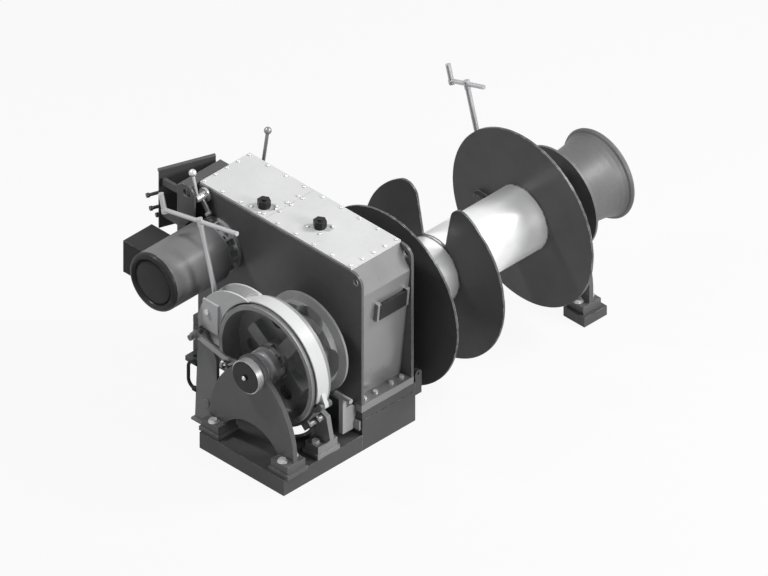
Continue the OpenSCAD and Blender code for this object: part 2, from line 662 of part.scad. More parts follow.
module motor_connection_box() color([0.5, 0.5, 0.5]) difference() {
    block(conn_x0, conn_x0 + conn_len, motor_y + 90, motor_y + conn_out, axis_h + motor_z - conn_h / 2,
        axis_h + motor_z + conn_h / 2);
    rod_x(conn_x0 - 1, conn_x0 + conn_len + 1, motor_r, motor_y, motor_z);
}
module motor_flange() color([0.6, 0.6, 0.6]) difference() {
    union() {
        tube_x(motor_x1 - motor_flange_t, motor_x1, motor_flange_r, motor_bore_r, motor_y, motor_z);
        difference() {
            tube_x(body_x1, motor_x1 - motor_flange_t + 0.5, motor_flange_r - 38, motor_flange_r - 52,
                motor_y, motor_z);
            for (a = [0:45:315]) along_x(body_x1 + 16, motor_y, motor_z) rotate([0, 0, a])
                translate([60, -24, 0]) cube([60, 48, bell_len - 30]);
        }
        rod_ring(body_x1, 14, motor_flange_r - 2, motor_flange_r - 52);
        for (a = [0:45:315]) along_x(body_x1 + 6, motor_y, motor_z) rotate([0, 0, a])
            translate([motor_flange_r - 44, -6, 0]) cube([38, 12, bell_len - 5]);
    }
    motor_bolt_places() rod_x(motor_x1 - motor_flange_t - 1, motor_x1 + 1, motor_bolt_r);
}
module rod_ring(x0, w, ro, ri) tube_x(x0, x0 + w, ro, ri, motor_y, motor_z);

// Jaw clutch halves
jaw_share = 66;
module jaws(x0, phase) difference() {
    intersection() {
        tube_x(x0, x0 + jaw_depth, hub_r, shaft_r + 14);
        plate_x(x0 - 1, jaw_depth + 2) for (i = [0:jaw_count - 1])
            sector(hub_r + 5, phase + (i * 360 - jaw_share) / jaw_count,
                phase + (i * 360 + jaw_share) / jaw_count, 2);
    }
}
groove_in = 12;
groove_w = 24;
groove_r = hub_r - 18;
module sleeve(x0, x1) difference() {
    along_x(x0) rotate_extrude() polygon([[shaft_r + 0.3, 0], [hub_r - 3, 0], [hub_r - 3, groove_in],
        [groove_r, groove_in],
        [groove_r, groove_in + groove_w], [hub_r - 2, groove_in + groove_w], [hub_r - 2, x1 - x0],
            [shaft_r + 0.3, x1 - x0]]);
    keyway(x0 - 1, x1 + 1);
}
module clutch_sleeve() color([0.62, 0.62, 0.62]) {
    sleeve(sleeve_x0, sleeve_x1);
    jaws(sleeve_x1 - 0.01, 180 / jaw_count);
}
module drum_clutch_sleeve() color([0.55, 0.55, 0.55]) {
    difference() {
        along_x(drum_sleeve_x0) rotate_extrude() polygon([[shaft_r + 0.3, 0], [hub_r - 3, 0],
            [hub_r - 3, 6], [groove_r, 6],
            [groove_r, 6 + groove_w], [hub_r - 3, 6 + groove_w], [hub_r - 3,
                drum_sleeve_x1 - drum_sleeve_x0],
            [shaft_r + 0.3, drum_sleeve_x1 - drum_sleeve_x0]]);
        keyway(drum_sleeve_x0 - 1, drum_sleeve_x1 + 1);
    }
    jaws(drum_sleeve_x1 - 0.01, 180 / jaw_count);
}

// Chain wheel with its brake drum, free on the shaft
link_w = 114;
link_half = 38;
whelp_r = 238;
pocket_r = 176;
vee_r = 146;
vee_w = 44;
rib_w = 82;
rib_r = 218;
module brake_ribs(x0, x1, ri, ro) for (a = [36:90:306]) intersection() {
    tube_x(x0, x1, ro, ri);
    along_x(x0) rotate([0, 0, a]) translate([0, -rib_w / 2, 0]) cube([ro, rib_w, x1 - x0]);
}
module chain_wheel() color([0.5, 0.5, 0.5]) {
    difference() {
        along_x(0) rotate_extrude() polygon([[bush_r, hub_x0], [hub_r, hub_x0], [hub_r + 8,
            wheel_x0 - brake_disc_t],
            [brake_r - brake_rim_t, wheel_x0 - brake_disc_t], [brake_r - brake_rim_t + 6, brake_x0],
                [brake_r, brake_x0],
            [brake_r, wheel_x0], [wheel_r, wheel_x0], [wheel_r, wheel_x0 + 14], [whelp_r, wheel_x0 + 34],
            [whelp_r, wheel_x1 - 34], [wheel_r, wheel_x1 - 14], [wheel_r, wheel_x1 - 1], [wheel_r - 36,
                wheel_x1],
            [wheel_r - 42, wheel_x1 - 16], [hub_r + 8, wheel_x1 - 16], [hub_r, wheel_x1], [bush_r,
                wheel_x1]]);
        for (i = [0:pockets - 1]) translate([(wheel_x0 + wheel_x1) / 2, 0,
            axis_h]) rotate([90 + i * 360 / pockets, 0, 0])
            translate([0, 0, pocket_r]) linear_extrude(wheel_r) {
                square([link_w, 2 * link_half], center = true);
                for (k = [-1, 1]) translate([0, k * link_half]) circle(link_w / 2);
            }
        tube_x((wheel_x0 + wheel_x1 - vee_w) / 2, (wheel_x0 + wheel_x1 + vee_w) / 2, wheel_r + 1, vee_r);
        for (a = [81:90:351]) along_x(wheel_x0 - brake_disc_t - 1, 205 * cos(a), 205 * sin(a))
            cylinder(h = brake_disc_t + 12, r = 42);
    }
    brake_ribs(brake_x0 + 70, wheel_x0 - brake_disc_t + 1, hub_r - 2, rib_r);
    jaws(jaw_tip_x, 0);
}
module chain_wheel_bushes() color([0.72, 0.55, 0.3]) {
    bush(hub_x0, 100);
    bush(wheel_x1 - 100, 100);
}

// Shift fork of the chain wheel's clutch and the post that guides it
yoke_x0 = sleeve_x0 + groove_in + 2;
arm_t = 10;
yoke_clear = 0.8;
arm_x0 = sleeve_x0 + 6;
post_x0 = arm_x0 + arm_t + clutch_travel + 2;
post_t = 20;
pin_y = 447;
pin_z = -8;
guide_r = 11;
module bar_2d(a, b, w) polygon([a + (w / 2) * nrm(a, b), b + (w / 2) * nrm(a, b), b - (w / 2) * nrm(a, b),
    a - (w / 2) * nrm(a, b)]);
function nrm(a, b) = [a[1] - b[1], b[0] - a[0]] / norm(b - a);
module clutch_fork() color([0.7, 0.7, 0.7]) {
    plate_x(yoke_x0, groove_w - 4) difference() {
        union() {
            circle(groove_r + 29);
            bar_2d([80, -20], [150, -38], 60);
        }
        circle(groove_r + yoke_clear);
        sector(300, -12, 80);
        sector(300, 70, 200);
        translate([-300, 60]) square([600, 300]);
    }
    difference() {
        plate_x(arm_x0, arm_t) difference() {
            union() {
                bar_2d([96, -24], [217, -56], 34);
                bar_2d([217, -56], [pin_y, pin_z], 34);
                translate([217, -56]) circle(24);
                translate([pin_y, pin_z]) circle(24);
            }
            circle(hub_r + 2);
            translate([pin_y, pin_z]) circle(guide_r + run_clear);
        }
    }
    tube_x(arm_x0 - 22, arm_x0 + 0.5, 21, guide_r + run_clear, pin_y, pin_z);
    rod_x(arm_x0 - 14, arm_x0 + 1, 12, 217, -56);
    difference() {
        rod_y(217 - 7, 217 + 7, 22, arm_x0 - 32, axis_h - 56);
        rod_y(217 - 8, 217 + 8, 12, arm_x0 - 32, axis_h - 56);
    }
}
post_foot_h = 12;
module fork_post() color([0.5, 0.5, 0.5]) {
    plate_x(post_x0, post_t) polygon([[330, post_foot_h - axis_h - 1], [post_low_y,
        post_foot_h - axis_h - 1],
        [post_top_y, post_top_z], [418, post_top_z], [338, -130]]);
    rod_x(post_x0 - 9, post_x0 + 0.5, 20, 404, -424);
    block(post_x0 - 14, post_x0 + post_t + 44, base_half + 6, 504, 0, post_foot_h);
    rod_x(arm_x0 - 36, post_x0 + 1, guide_r, pin_y, pin_z);
    rod_x(arm_x0 - 42, arm_x0 - 35, guide_r + 5, pin_y, pin_z);
    block(post_x0 + post_t - 1, post_x0 + post_t + 40, 470, 484, post_foot_h - 1, 330);
}
hose_r = 9;
hose_bend = 46;
hose_z0 = -385;
hose_z1 = -225;
post_top_y = 466;
post_low_y = 490;
post_top_z = 10;
function post_edge(z) = post_top_y + (post_low_y - post_top_y)
    * (post_top_z - z) / (axis_h + post_top_z - post_foot_h);
hose_y = post_low_y + 6;
hose_x = post_x0 + 6;
module pipe_loop() color([0.1, 0.1, 0.1]) {
    along_x(hose_x, hose_y, hose_z1 - hose_bend) rotate_extrude(angle = 90,
        $fn = 48) translate([hose_bend, 0]) circle(hose_r);
    rod_v(hose_x, hose_y + hose_bend, axis_h + hose_z0 + hose_bend, axis_h + hose_z1 - hose_bend);
    along_x(hose_x, hose_y, hose_z0 + hose_bend) rotate([0, 0, -90]) rotate_extrude(angle = 90, $fn = 48)
        translate([hose_bend, 0]) circle(hose_r);
    for (z = [hose_z0, hose_z1]) rod_y(post_edge(z) + 0.9, hose_y + 8, hose_r + 5, hose_x, axis_h + z);
    for (z = [hose_z0, hose_z1]) rod_y(post_edge(z) + 6, hose_y + 1, hose_r, hose_x, axis_h + z);
}
module rod_v(x, y, z0, z1) translate([x, y, z0]) cylinder(h = z1 - z0, r = hose_r, $fn = 48);

// Band brakes: straps with linings, a joint pin on the right and a screw on the left
strap_x0 = brake_x0 + 24;
strap_x1 = strap_x0 + band_w;
strap_mid = (strap_x0 + strap_x1) / 2;
module ring_part(x0, w, ri, ro, a0, a1) along_x(x0) rotate([0, 0, a0]) rotate_extrude(angle = a1 - a0)
    translate([ri, 0]) square([ro - ri, w]);
function strap_ro(r) = r + lining_gap + lining_t + strap_t;
joint_a = 195;
joint_out = 20;
joint_eye_r = 19;
joint_pin_r = 13;
function joint_c(r) = polar(strap_ro(r) + joint_out, joint_a);
anchor_a = 224;
anchor_r = 15;
function anchor_c(r) = polar(strap_ro(r) + 18, anchor_a);
module lining(x0, r, a0, a1, sink = 0) ring_part(x0 + 2, band_w - 4, r + lining_gap,
    r + lining_gap + lining_t + sink, a0, a1);
module strap(x0, r, a0, a1) ring_part(x0, band_w, r + lining_gap + lining_t, strap_ro(r), a0, a1);
module lug_2d(r, a_from, a_to, hole) difference() {
    union() {
        translate(joint_c(r)) circle(joint_eye_r);
        polygon([polar(strap_ro(r) - 5, a_from), polar(strap_ro(r) + joint_out + 14,
            joint_a - sign(joint_a - a_from) * 2.5),
            polar(strap_ro(r) + joint_out - 14, joint_a + sign(joint_a - a_from) * 1),
                polar(strap_ro(r) - 5, a_to)]);
    }
    if (hole > 0) translate(joint_c(r)) circle(hole);
    circle(strap_ro(r) - 4);
}
near_z_up = 62;
near_z_low = -262;
near_line_y = 420;
near_line_z = 209;
function near_y(z) = near_line_y + (z - near_line_z) * tan(screw_tilt);
far_line_y = 426;
far_line_z = 283;
far_z_up = 70;
far_z_low = -210;
function far_y(z) = far_line_y + (z - far_line_z) * tan(screw_tilt);
nut_half = 30;
nut_h = 46;
module nut_block(x_mid, w, y, z, hole) translate([x_mid, y, axis_h + z]) rotate([-screw_tilt, 0,
    0]) difference() {
    cube([w, 2 * nut_half, nut_h], center = true);
    cylinder(h = nut_h + 2, r = hole, center = true);
}
swing_clear = 6;
screw_clear = 0.3;
module upper_cheeks() difference() {
    intersection() {
        translate([190, 20]) circle(300);
        translate([100, -56]) square([400, 500]);
    }
    circle(strap_ro(brake_r) - 4);
}
module near_upper_band() color([0.72, 0.72, 0.72]) {
    strap(strap_x0, brake_r, 35, 193);
    plate_x(strap_mid - 13, 26) lug_2d(brake_r, 183, 190.5, joint_pin_r + run_clear);
    for (x = [strap_x0 - cheek_t, strap_x1]) plate_x(x, cheek_t) upper_cheeks();
    for (x = [strap_x0 - 0.5, strap_x1 - 9.5]) ring_part(x, 10, strap_ro(brake_r) - 5,
        strap_ro(brake_r) + 6, 36, 66);
    difference() {
        block(strap_x0 - cheek_t - 12, strap_x0 - cheek_t + 0.5, 340, 446, axis_h + 14, axis_h + 190);
        rod_x(strap_x0 - cheek_t - 13, strap_x0, 9, 411, 125);
    }
    nut_block(strap_mid, band_w + 1, near_y(near_z_up), near_z_up, screw_r + swing_clear);
}
module near_upper_lining() color([0.3, 0.25, 0.2]) lining(strap_x0, brake_r, 36, 192);
module nut_lugs(r, y, z, a0) difference() {
    union() {
        translate([y, z]) circle(36);
        polygon([polar(strap_ro(r) - 7, a0 - 16), polar(strap_ro(r) - 7, a0), [y + 18, z + 29], [y - 6,
            z - 33]]);
    }
    circle(strap_ro(r) - 4);
}
module near_lower_band() color([0.6, 0.6, 0.6]) {
    strap(strap_x0, brake_r, 198, 323);
    for (s = [-1, 1]) plate_x(strap_mid + s * 26 - 11, 22) lug_2d(brake_r, 207, 200.5, 0);
    rod_x(strap_mid - 42, strap_mid + 42, joint_pin_r, joint_c(brake_r)[0], joint_c(brake_r)[1]);
    for (s = [-1, 1]) plate_x(strap_mid + s * 31 - 6, 12) difference() {
        bar_2d(polar(strap_ro(brake_r) - 7, anchor_a), polar(strap_ro(brake_r) + 34, anchor_a), 60);
        translate(anchor_c(brake_r)) circle(anchor_r + run_clear);
        circle(strap_ro(brake_r) - 4);
    }
    for (s = [-1, 1]) plate_x(strap_mid + s * 31 - 6, 12) nut_lugs(brake_r, near_y(near_z_low),
        near_z_low, 322);
    nut_block(strap_mid, 60, near_y(near_z_low), near_z_low, screw_r + screw_clear);
}
module near_lower_lining() color([0.3, 0.25, 0.2]) lining(strap_x0, brake_r, 199, 322);
module brake_screw(x_mid, y_top, z_top, z_low, bar_len, turn) translate([x_mid, y_top,
    axis_h + z_top]) rotate([-screw_tilt, 0, 0]) {
    len = (z_top - z_low) / cos(screw_tilt);
    translate([0, 0, -len - nut_h / 2 - 24]) cylinder(h = len + nut_h / 2 + 24, r = screw_r, $fn = 48);
    for (z = [-len - nut_h / 2 - 19, -len + nut_h / 2 + 1]) translate([0, 0, z]) cylinder(h = 18,
        r = screw_r + 9, $fn = 48);
    translate([0, 0, -26]) cylinder(h = 44, r = bar_r + 5, $fn = 48);
    rotate([0, 0, turn]) {
        rotate([90, 0, 0]) cylinder(h = bar_len, r = bar_r, center = true, $fn = 48);
        translate([0, bar_len / 2 - bar_r, -bar_r - 6]) cylinder(h = 22, r = bar_r + 5, $fn = 48);
        translate([0, bar_len / 2 - bar_r, 0]) cylinder(h = 92, r = bar_r + 2, $fn = 48);
    }
}
module near_brake_screw() color([0.45, 0.45, 0.45])
    brake_screw(strap_mid, near_y(near_crank_h), near_crank_h, near_z_low, near_bar, -4.5);

// Brake of the rope drum, at its far end
far_strap_x0 = far_flange_x1 + (brake_w - band_w) / 2 + 22;
far_mid = far_strap_x0 + band_w / 2;
module far_upper_band() color([0.6, 0.6, 0.6]) {
    strap(far_strap_x0, far_brake_r, 35, 193);
    lining(far_strap_x0, far_brake_r, 36, 192, 1);
    plate_x(far_mid - 13, 26) lug_2d(far_brake_r, 182, 190, joint_pin_r + run_clear);
    for (s = [-1, 1]) plate_x(far_mid + s * 31 - 6, 12) difference() {
        polygon([polar(strap_ro(far_brake_r) - 7, 58), polar(strap_ro(far_brake_r) - 7, 36),
            [far_y(far_z_up) - 30, far_z_up - 34],
            [far_y(far_z_up) + 26, far_z_up - 34], [far_y(far_z_up) + 36, far_z_up + 26]]);
        circle(strap_ro(far_brake_r) - 4);
    }
    nut_block(far_mid, 60, far_y(far_z_up), far_z_up, screw_r + swing_clear);
}
module far_lower_band() color([0.5, 0.5, 0.5]) {
    strap(far_strap_x0, far_brake_r, 198, 323);
    lining(far_strap_x0, far_brake_r, 199, 322, 1);
    for (s = [-1, 1]) plate_x(far_mid + s * 26 - 11, 22) lug_2d(far_brake_r, 208, 201, 0);
    rod_x(far_mid - 42, far_mid + 42, joint_pin_r, joint_c(far_brake_r)[0], joint_c(far_brake_r)[1]);
    for (s = [-1, 1]) plate_x(far_mid + s * 31 - 6, 12) difference() {
        bar_2d(polar(strap_ro(far_brake_r) - 7, anchor_a), polar(strap_ro(far_brake_r) + 34, anchor_a), 60);
        translate(anchor_c(far_brake_r)) circle(anchor_r + run_clear);
        circle(strap_ro(far_brake_r) - 4);
    }
    for (s = [-1, 1]) plate_x(far_mid + s * 31 - 6, 12) nut_lugs(far_brake_r, far_y(far_z_low),
        far_z_low, 322);
    nut_block(far_mid, 60, far_y(far_z_low), far_z_low, screw_r + screw_clear);
}
module far_brake_screw() color([0.45, 0.45, 0.45])
    brake_screw(far_mid, far_y(far_crank_h), far_crank_h, far_z_low, far_bar, 3.8);

// Anchors: the strut of the near band on the front base, and the rod of the far band
module brake_anchors() color([0.6, 0.6, 0.6]) {
    plate_x(strut_x, strut_t) difference() {
        polygon([[strut_y0 + 6, strut_z0 - axis_h - 1], [strut_y0 - 22, strut_z0 - axis_h + 34],
            anchor_c(brake_r) + [-30, 12],
            anchor_c(brake_r) + [14, 30], anchor_c(brake_r) + [34, -8], [strut_y0 + 96,
                strut_z0 - axis_h - 1]]);
        circle(wheel_r + pass_clear);
    }
    rod_x(strap_x0 + 2, strut_x + 1, anchor_r, anchor_c(brake_r)[0], anchor_c(brake_r)[1]);
    difference() {
        union() {
            block(strut_x + strut_t / 2 - 78, strut_x + strut_t / 2 + 78, strut_y0,
                strut_y0 + strut_foot_w + 6, base_h, base_h + 26);
            block(strut_x + strut_t / 2 - 68, strut_x + strut_t / 2 + 68, strut_y0 + 8,
                strut_y0 + strut_foot_w - 6, base_h + 25, strut_z0);
        }
        for (k = [-1, 1]) translate([strut_x + strut_t / 2 + k * strut_bolt_off,
            strut_y0 + strut_foot_w / 2, base_h - 1])
            cylinder(h = strut_foot_h + 2, r = foot_bolt_r + bolt_clear);
    }
    rod_x(far_mid - 42, far_ped_x0, anchor_r, anchor_c(far_brake_r)[0], anchor_c(far_brake_r)[1]);
    rod_x(far_ped_x0 - 12, far_ped_x0, anchor_r + 12, anchor_c(far_brake_r)[0], anchor_c(far_brake_r)[1]);
}

// Chain stripper on the front of the gear bed
strip_y = -237;
strip_t = 28;
strip_z0 = base_h + 28;
strip_z1 = 276;
strip_x0 = bed_x0 - 92;
module chain_stripper() color([0.6, 0.6, 0.6]) {
    translate([0, strip_y + strip_t / 2, 0]) rotate([90, 0, 0]) linear_extrude(strip_t) difference() {
        union() {
            translate([strip_x0, strip_z0]) square([92, strip_z1 - 24 - strip_z0]);
            translate([strip_x0 + 46, strip_z1 - 46]) circle(46);
            translate([strip_x0, strip_z1 - 60]) square([26, axis_h - 225 - strip_z1 + 60]);
        }
        translate([case_x0 - 1, bed_top - 2]) square([100, 200]);
    }
    block(bed_x0 - 12, bed_x0, strip_y - 50, strip_y + 50, strip_z0, bed_seam - 4);
    rod_y(-296, -186, 13, strip_x0 + 13, axis_h - 225);
}

// Rope drum: a barrel between three flanges, with the brake drum behind the last one
notch_y = 80;
notch_z = 175;
notch_top_y = 118;
notch_top_z = 378;
notch_r = 80;
notch_n = [notch_top_z - notch_z, notch_y - notch_top_y] / norm([notch_top_z - notch_z,
    notch_y - notch_top_y]);
notch_c = [notch_top_y, notch_top_z] + notch_r * notch_n;
notch_a0 = atan2(-notch_n[1], -notch_n[0]);
notch_a1 = atan2(notch_c[1], notch_c[0]);
notch_side = concat([[notch_y, notch_z]], arc(notch_c, notch_r, notch_a0, notch_a1, 10),
    [polar(flange_r + 60, notch_a1)]);
function mirror_y(p) = [-p[0], p[1]];
module notch_2d() polygon(concat(notch_side, [[0, 2 * flange_r]],
    [for (i = [len(notch_side) - 1:-1:0]) mirror_y(notch_side[i])]));
drum_hub_x0 = near_flange_x0 - drum_hub_len;
module drum_barrel() color([0.75, 0.75, 0.75])
    tube_x(near_flange_x0 + flange_t, far_flange_x0, barrel_r, barrel_r - barrel_wall);
module near_drum_flange() color([0.5, 0.5, 0.5]) {
    tube_x(near_flange_x0, near_flange_x0 + flange_t, flange_r, bush_r);
    tube_x(drum_hub_x0, near_flange_x0 + 90, hub_r, bush_r);
    jaws(drum_hub_x0 - jaw_depth, 0);
}
module notched_drum_flange() color([0.5, 0.5, 0.5]) plate_x(mid_flange_x0, flange_t) difference() {
    circle(flange_r);
    circle(barrel_r);
    notch_2d();
}
far_rim_t = 26;
far_hub_x1 = far_house_x0 - end_gap;
module far_drum_flange() color([0.5, 0.5, 0.5]) {
    tube_x(far_flange_x0, far_flange_x1, flange_r, bush_r);
    tube_x(far_flange_x0 - 90, far_hub_x1, hub_r, bush_r);
    tube_x(far_flange_x1 - 0.5, far_hub_x1, far_brake_r, far_brake_r - far_rim_t);
    block(far_flange_x0 - 34, far_flange_x0 + 1, 250, 314, axis_h - 22, axis_h + 12);
}
module drum_bushes() color([0.72, 0.55, 0.3]) {
    bush(drum_hub_x0, near_flange_x0 + 90 - drum_hub_x0);
    bush(far_flange_x0 - 90, far_hub_x1 - far_flange_x0 + 90);
}

// Shift fork of the drum's clutch, on two studs of the rear side plate
fork_stud_r = 12;
stud_y = 126;
stud_z = 62;
cross_x = case_x1 + 32;
cross_z = 400;
cross_y1 = 807;
finger_z = 150;
finger_r = 9;
finger_slot = 24;
drum_yoke_x0 = drum_sleeve_x0 + 8;
module drum_fork_studs() for (s = [-1, 1]) rod_x(case_x1,
    drum_yoke_x0 + groove_w - 4 + clutch_travel + 16, fork_stud_r, s * stud_y, stud_z);
module drum_clutch_fork() color([0.6, 0.6, 0.6]) {
    plate_x(drum_yoke_x0, groove_w - 4) difference() {
        union() {
            circle(groove_r + 29);
            translate([-stud_y - 26, stud_z - 26]) square([2 * stud_y + 52, 52]);
            translate([-24, 90]) square([48, finger_z - 12 - 90]);
        }
        circle(groove_r + yoke_clear);
        translate([-200, -300]) square([400, 290]);
        for (s = [-1, 1]) translate([s * stud_y, stud_z]) circle(fork_stud_r + run_clear);
    }
    difference() {
        block(cross_x - finger_slot / 2 - 9, cross_x + finger_slot / 2 + 9, -24, 24,
            axis_h + finger_z - 22, axis_h + finger_z + 20);
        block(cross_x - finger_slot / 2, cross_x + finger_slot / 2, -25, 25, axis_h + finger_z - 12,
            axis_h + finger_z + 21);
    }
}
shift_brackets = [90, 700];
cross_r = 14;
module cross_shaft_brackets() for (y = shift_brackets) difference() {
    union() {
        block(case_x1, cross_x, y - 20, y + 20, axis_h + cross_z - 26, axis_h + cross_z + 26);
        rod_y(y - 20, y + 20, 26, cross_x, axis_h + cross_z);
    }
    rod_y(y - 21, y + 21, cross_r + run_clear, cross_x, axis_h + cross_z);
}
module shift_mounts() color([0.5, 0.5, 0.5]) {
    drum_fork_studs();
    cross_shaft_brackets();
}
lever_lean = 10.5;
drum_lever_z = 626;
module drum_shift_lever() color([0.45, 0.45, 0.45]) {
    rod_y(-20, cross_y1 + 14, cross_r, cross_x, axis_h + cross_z);
    rod_y(-18, 18, 24, cross_x, axis_h + cross_z);
    translate([cross_x, 0, axis_h + finger_z - 8]) cylinder(h = cross_z - finger_z, r = finger_r, $fn = 48);
    rod_y(cross_y1 - 16, cross_y1 + 16, 24, cross_x, axis_h + cross_z);
    translate([cross_x, cross_y1, axis_h + cross_z]) rotate([0, lever_lean, 0]) {
        cylinder(h = (drum_lever_z - cross_z) / cos(lever_lean), r = 9, $fn = 48);
        translate([0, 0, (drum_lever_z - cross_z) / cos(lever_lean)]) sphere(r = 20, $fn = 48);
    }
    for (y = shift_brackets) rod_y(y + 21, y + 33, 22, cross_x, axis_h + cross_z);
}

// Warping head, keyed on the shaft's far end
module warping_head() color([0.35, 0.35, 0.35]) {
    difference() {
        along_x(0) rotate_extrude() polygon(concat([[shaft_r + 0.02, head_x0], [head_flange_r,
            head_x0], [head_flange_r, head_x0 + 13],
            [head_waist_r + 34, head_x0 + 20]],
            [for (i = [0:6]) [head_waist_r + 34 * (1 - sin(i * 15)),
                head_x0 + 20 + 60 * (1 - cos(i * 15))]],
            [for (i = [0:6]) [head_waist_r + (head_end_r - head_waist_r - 6) * (1 - cos(i * 15)),
                head_x0 + 110 + (head_len - 135) * sin(i * 15)]],
            [for (i = [0:4]) [head_end_r - 12 + 12 * cos(i * 22.5), head_x1 - 14 + 14 * sin(i * 22.5)]],
            [[head_end_r - 26, head_x1], [head_waist_r - 30, head_x0 + 120], [shaft_r + 34,
                head_x0 + 120], [shaft_r + 30, head_x0 + 180],
            [shaft_r + 0.02, head_x0 + 180]]));
        keyway(head_x0 - 1, head_x0 + 181);
    }
    for (a = [22.5:45:337.5]) along_x(head_x0 + 12.5, (head_flange_r - 22) * cos(a),
        (head_flange_r - 22) * sin(a))
        cylinder(h = 13, r = 15, $fn = 6);
}

// Shift lever of the chain wheel's clutch, through the front side plate
front_lever_y = 37;
front_lever_z = 139;
front_lever_x = case_x0 - 60;
module front_shift_lever() color([0.7, 0.7, 0.7]) {
    rod_x(front_lever_x - 14, shell_x0 + 30, shift_shaft_r, shift_y, shift_z);
    rod_x(case_x0 - 16, case_x0 - 2, 38, shift_y, shift_z);
    rod_x(case_x0 - 46, case_x0 - 15, 20, shift_y, shift_z);
    rod_x(front_lever_x - 12, front_lever_x + 15, 18, shift_y, shift_z);
    rod_x(shell_x0 + 2, shell_x0 + 14, 22, shift_y, shift_z);
    translate([front_lever_x, shift_y, axis_h + shift_z]) rotate([-atan(front_lever_y / front_lever_z),
        0, 0]) {
        cylinder(h = norm([front_lever_y, front_lever_z]), r = 8, $fn = 48);
        translate([0, 0, norm([front_lever_y, front_lever_z])]) sphere(r = 20, $fn = 48);
    }
    plate_x(case_x0 - 44, 10) bar_2d([shift_y, shift_z], [shift_y - 62, shift_z - 74], 26);
    rod_x(case_x0 - 60, case_x0 - 34, 9, shift_y - 58, shift_z - 70);
}

// Valves on the left end of the gearcase
stand_x0 = case_x0 - 86;
stand_x1 = case_x0 + 220;
stand_y1 = case_left + 62;
stand_z0 = 212;
stand_z1 = 505;
panel_a = [24, 940];
panel_b = [-269, 1049];
panel_t = 8;
panel_z0 = 172;
panel_z1 = 530;
panel_turn = atan2(panel_b[1] - panel_a[1], panel_b[0] - panel_a[0]);
panel_len = norm(panel_b - panel_a);
arch_c = [850, 480];
arch_r = 60;
arch_hole_r = 26;
arch_z0 = 300;
arch_gap = 12;
module at_panel() translate([panel_a[0], panel_a[1], axis_h]) rotate([0, 0, panel_turn]) children();
module valve_stand() color([0.66, 0.66, 0.66]) {
    difference() {
        block(stand_x0, stand_x1, case_left, stand_y1, axis_h + stand_z0, axis_h + stand_z1);
        block(stand_x0 + 10, stand_x1 - 10, case_left + 10, stand_y1 - 10, axis_h + stand_z0 - 1,
            axis_h + stand_z1 - 10);
    }
    plate_x(stand_x0 - 9, 10) difference() {
        union() {
            translate(arch_c) circle(arch_r);
            translate([arch_c[0] - arch_r, arch_z0]) square([2 * arch_r, arch_c[1] - arch_z0]);
        }
        translate(arch_c + [-5, 12]) circle(arch_hole_r);
        translate([motor_y, motor_z]) circle(motor_r + arch_gap);
    }
    difference() {
        union() for (z = [stand_z0 + 30, stand_z1 - 70]) {
            block(stand_x0 + 14, stand_x0 + 30, stand_y1 - 1, 1100, axis_h + z, axis_h + z + 40);
            block(stand_x1 - 60, stand_x1 - 44, stand_y1 - 1, 1100, axis_h + z, axis_h + z + 40);
        }
        at_panel() translate([-100, -300, panel_z0 - 10]) cube([panel_len + 300, 300,
            panel_z1 - panel_z0 + 20]);
    }
}
module valve_panel() color([0.7, 0.7, 0.7]) at_panel() {
    translate([0, -panel_t, panel_z0]) cube([panel_len, panel_t, panel_z1 - panel_z0 - 8]);
    translate([0, -10, panel_z1 - 10]) rotate([0, 90, 0]) cylinder(h = panel_len, r = 10, $fn = 48);
    for (p = [[375, 60], [290, 42], [240, 8]]) {
        translate([panel_len - 90, -panel_t - 12, p[0]]) rotate([0, 90, 0]) cylinder(h = 90 + p[1],
            r = 9, $fn = 48);
        translate([panel_len - 70, -panel_t - 24, p[0] - 14]) cube([30, 24.5, 28]);
        translate([panel_len + p[1] - 14, -panel_t - 12, p[0]]) rotate([0, 90, 0]) cylinder(h = 14,
            r = 14, $fn = 6);
    }
}

front_base();
gear_bed();
bed_lugs();
chain_pipe_ring();
front_pedestal();
front_bearing_cap();
far_pedestal();
far_deck_pads();
bearing_housings();
bearing_bushes();
foot_bolts();
front_side_plate();
rear_side_plate();
gearcase_shell();
gearcase_cover();
cover_screws();
vent_plugs();
gearcase_bushes();
nameplate_frame();
nameplate();
flange_bolts();
main_shaft();
shaft_keys();
main_gear();
second_shaft_gears();
third_shaft_gears();
motor_shaft_pinion();
motor_body();
motor_end_cover();
motor_connection_box();
motor_flange();
chain_wheel();
chain_wheel_bushes();
clutch_sleeve();
clutch_fork();
fork_post();
pipe_loop();
near_upper_band();
near_upper_lining();
near_lower_band();
near_lower_lining();
near_brake_screw();
brake_anchors();
chain_stripper();
drum_barrel();
near_drum_flange();
notched_drum_flange();
far_drum_flange();
drum_bushes();
shift_mounts();
drum_clutch_sleeve();
drum_clutch_fork();
drum_shift_lever();
far_upper_band();
far_lower_band();
far_brake_screw();
warping_head();
front_shift_lever();
valve_stand();
valve_panel();
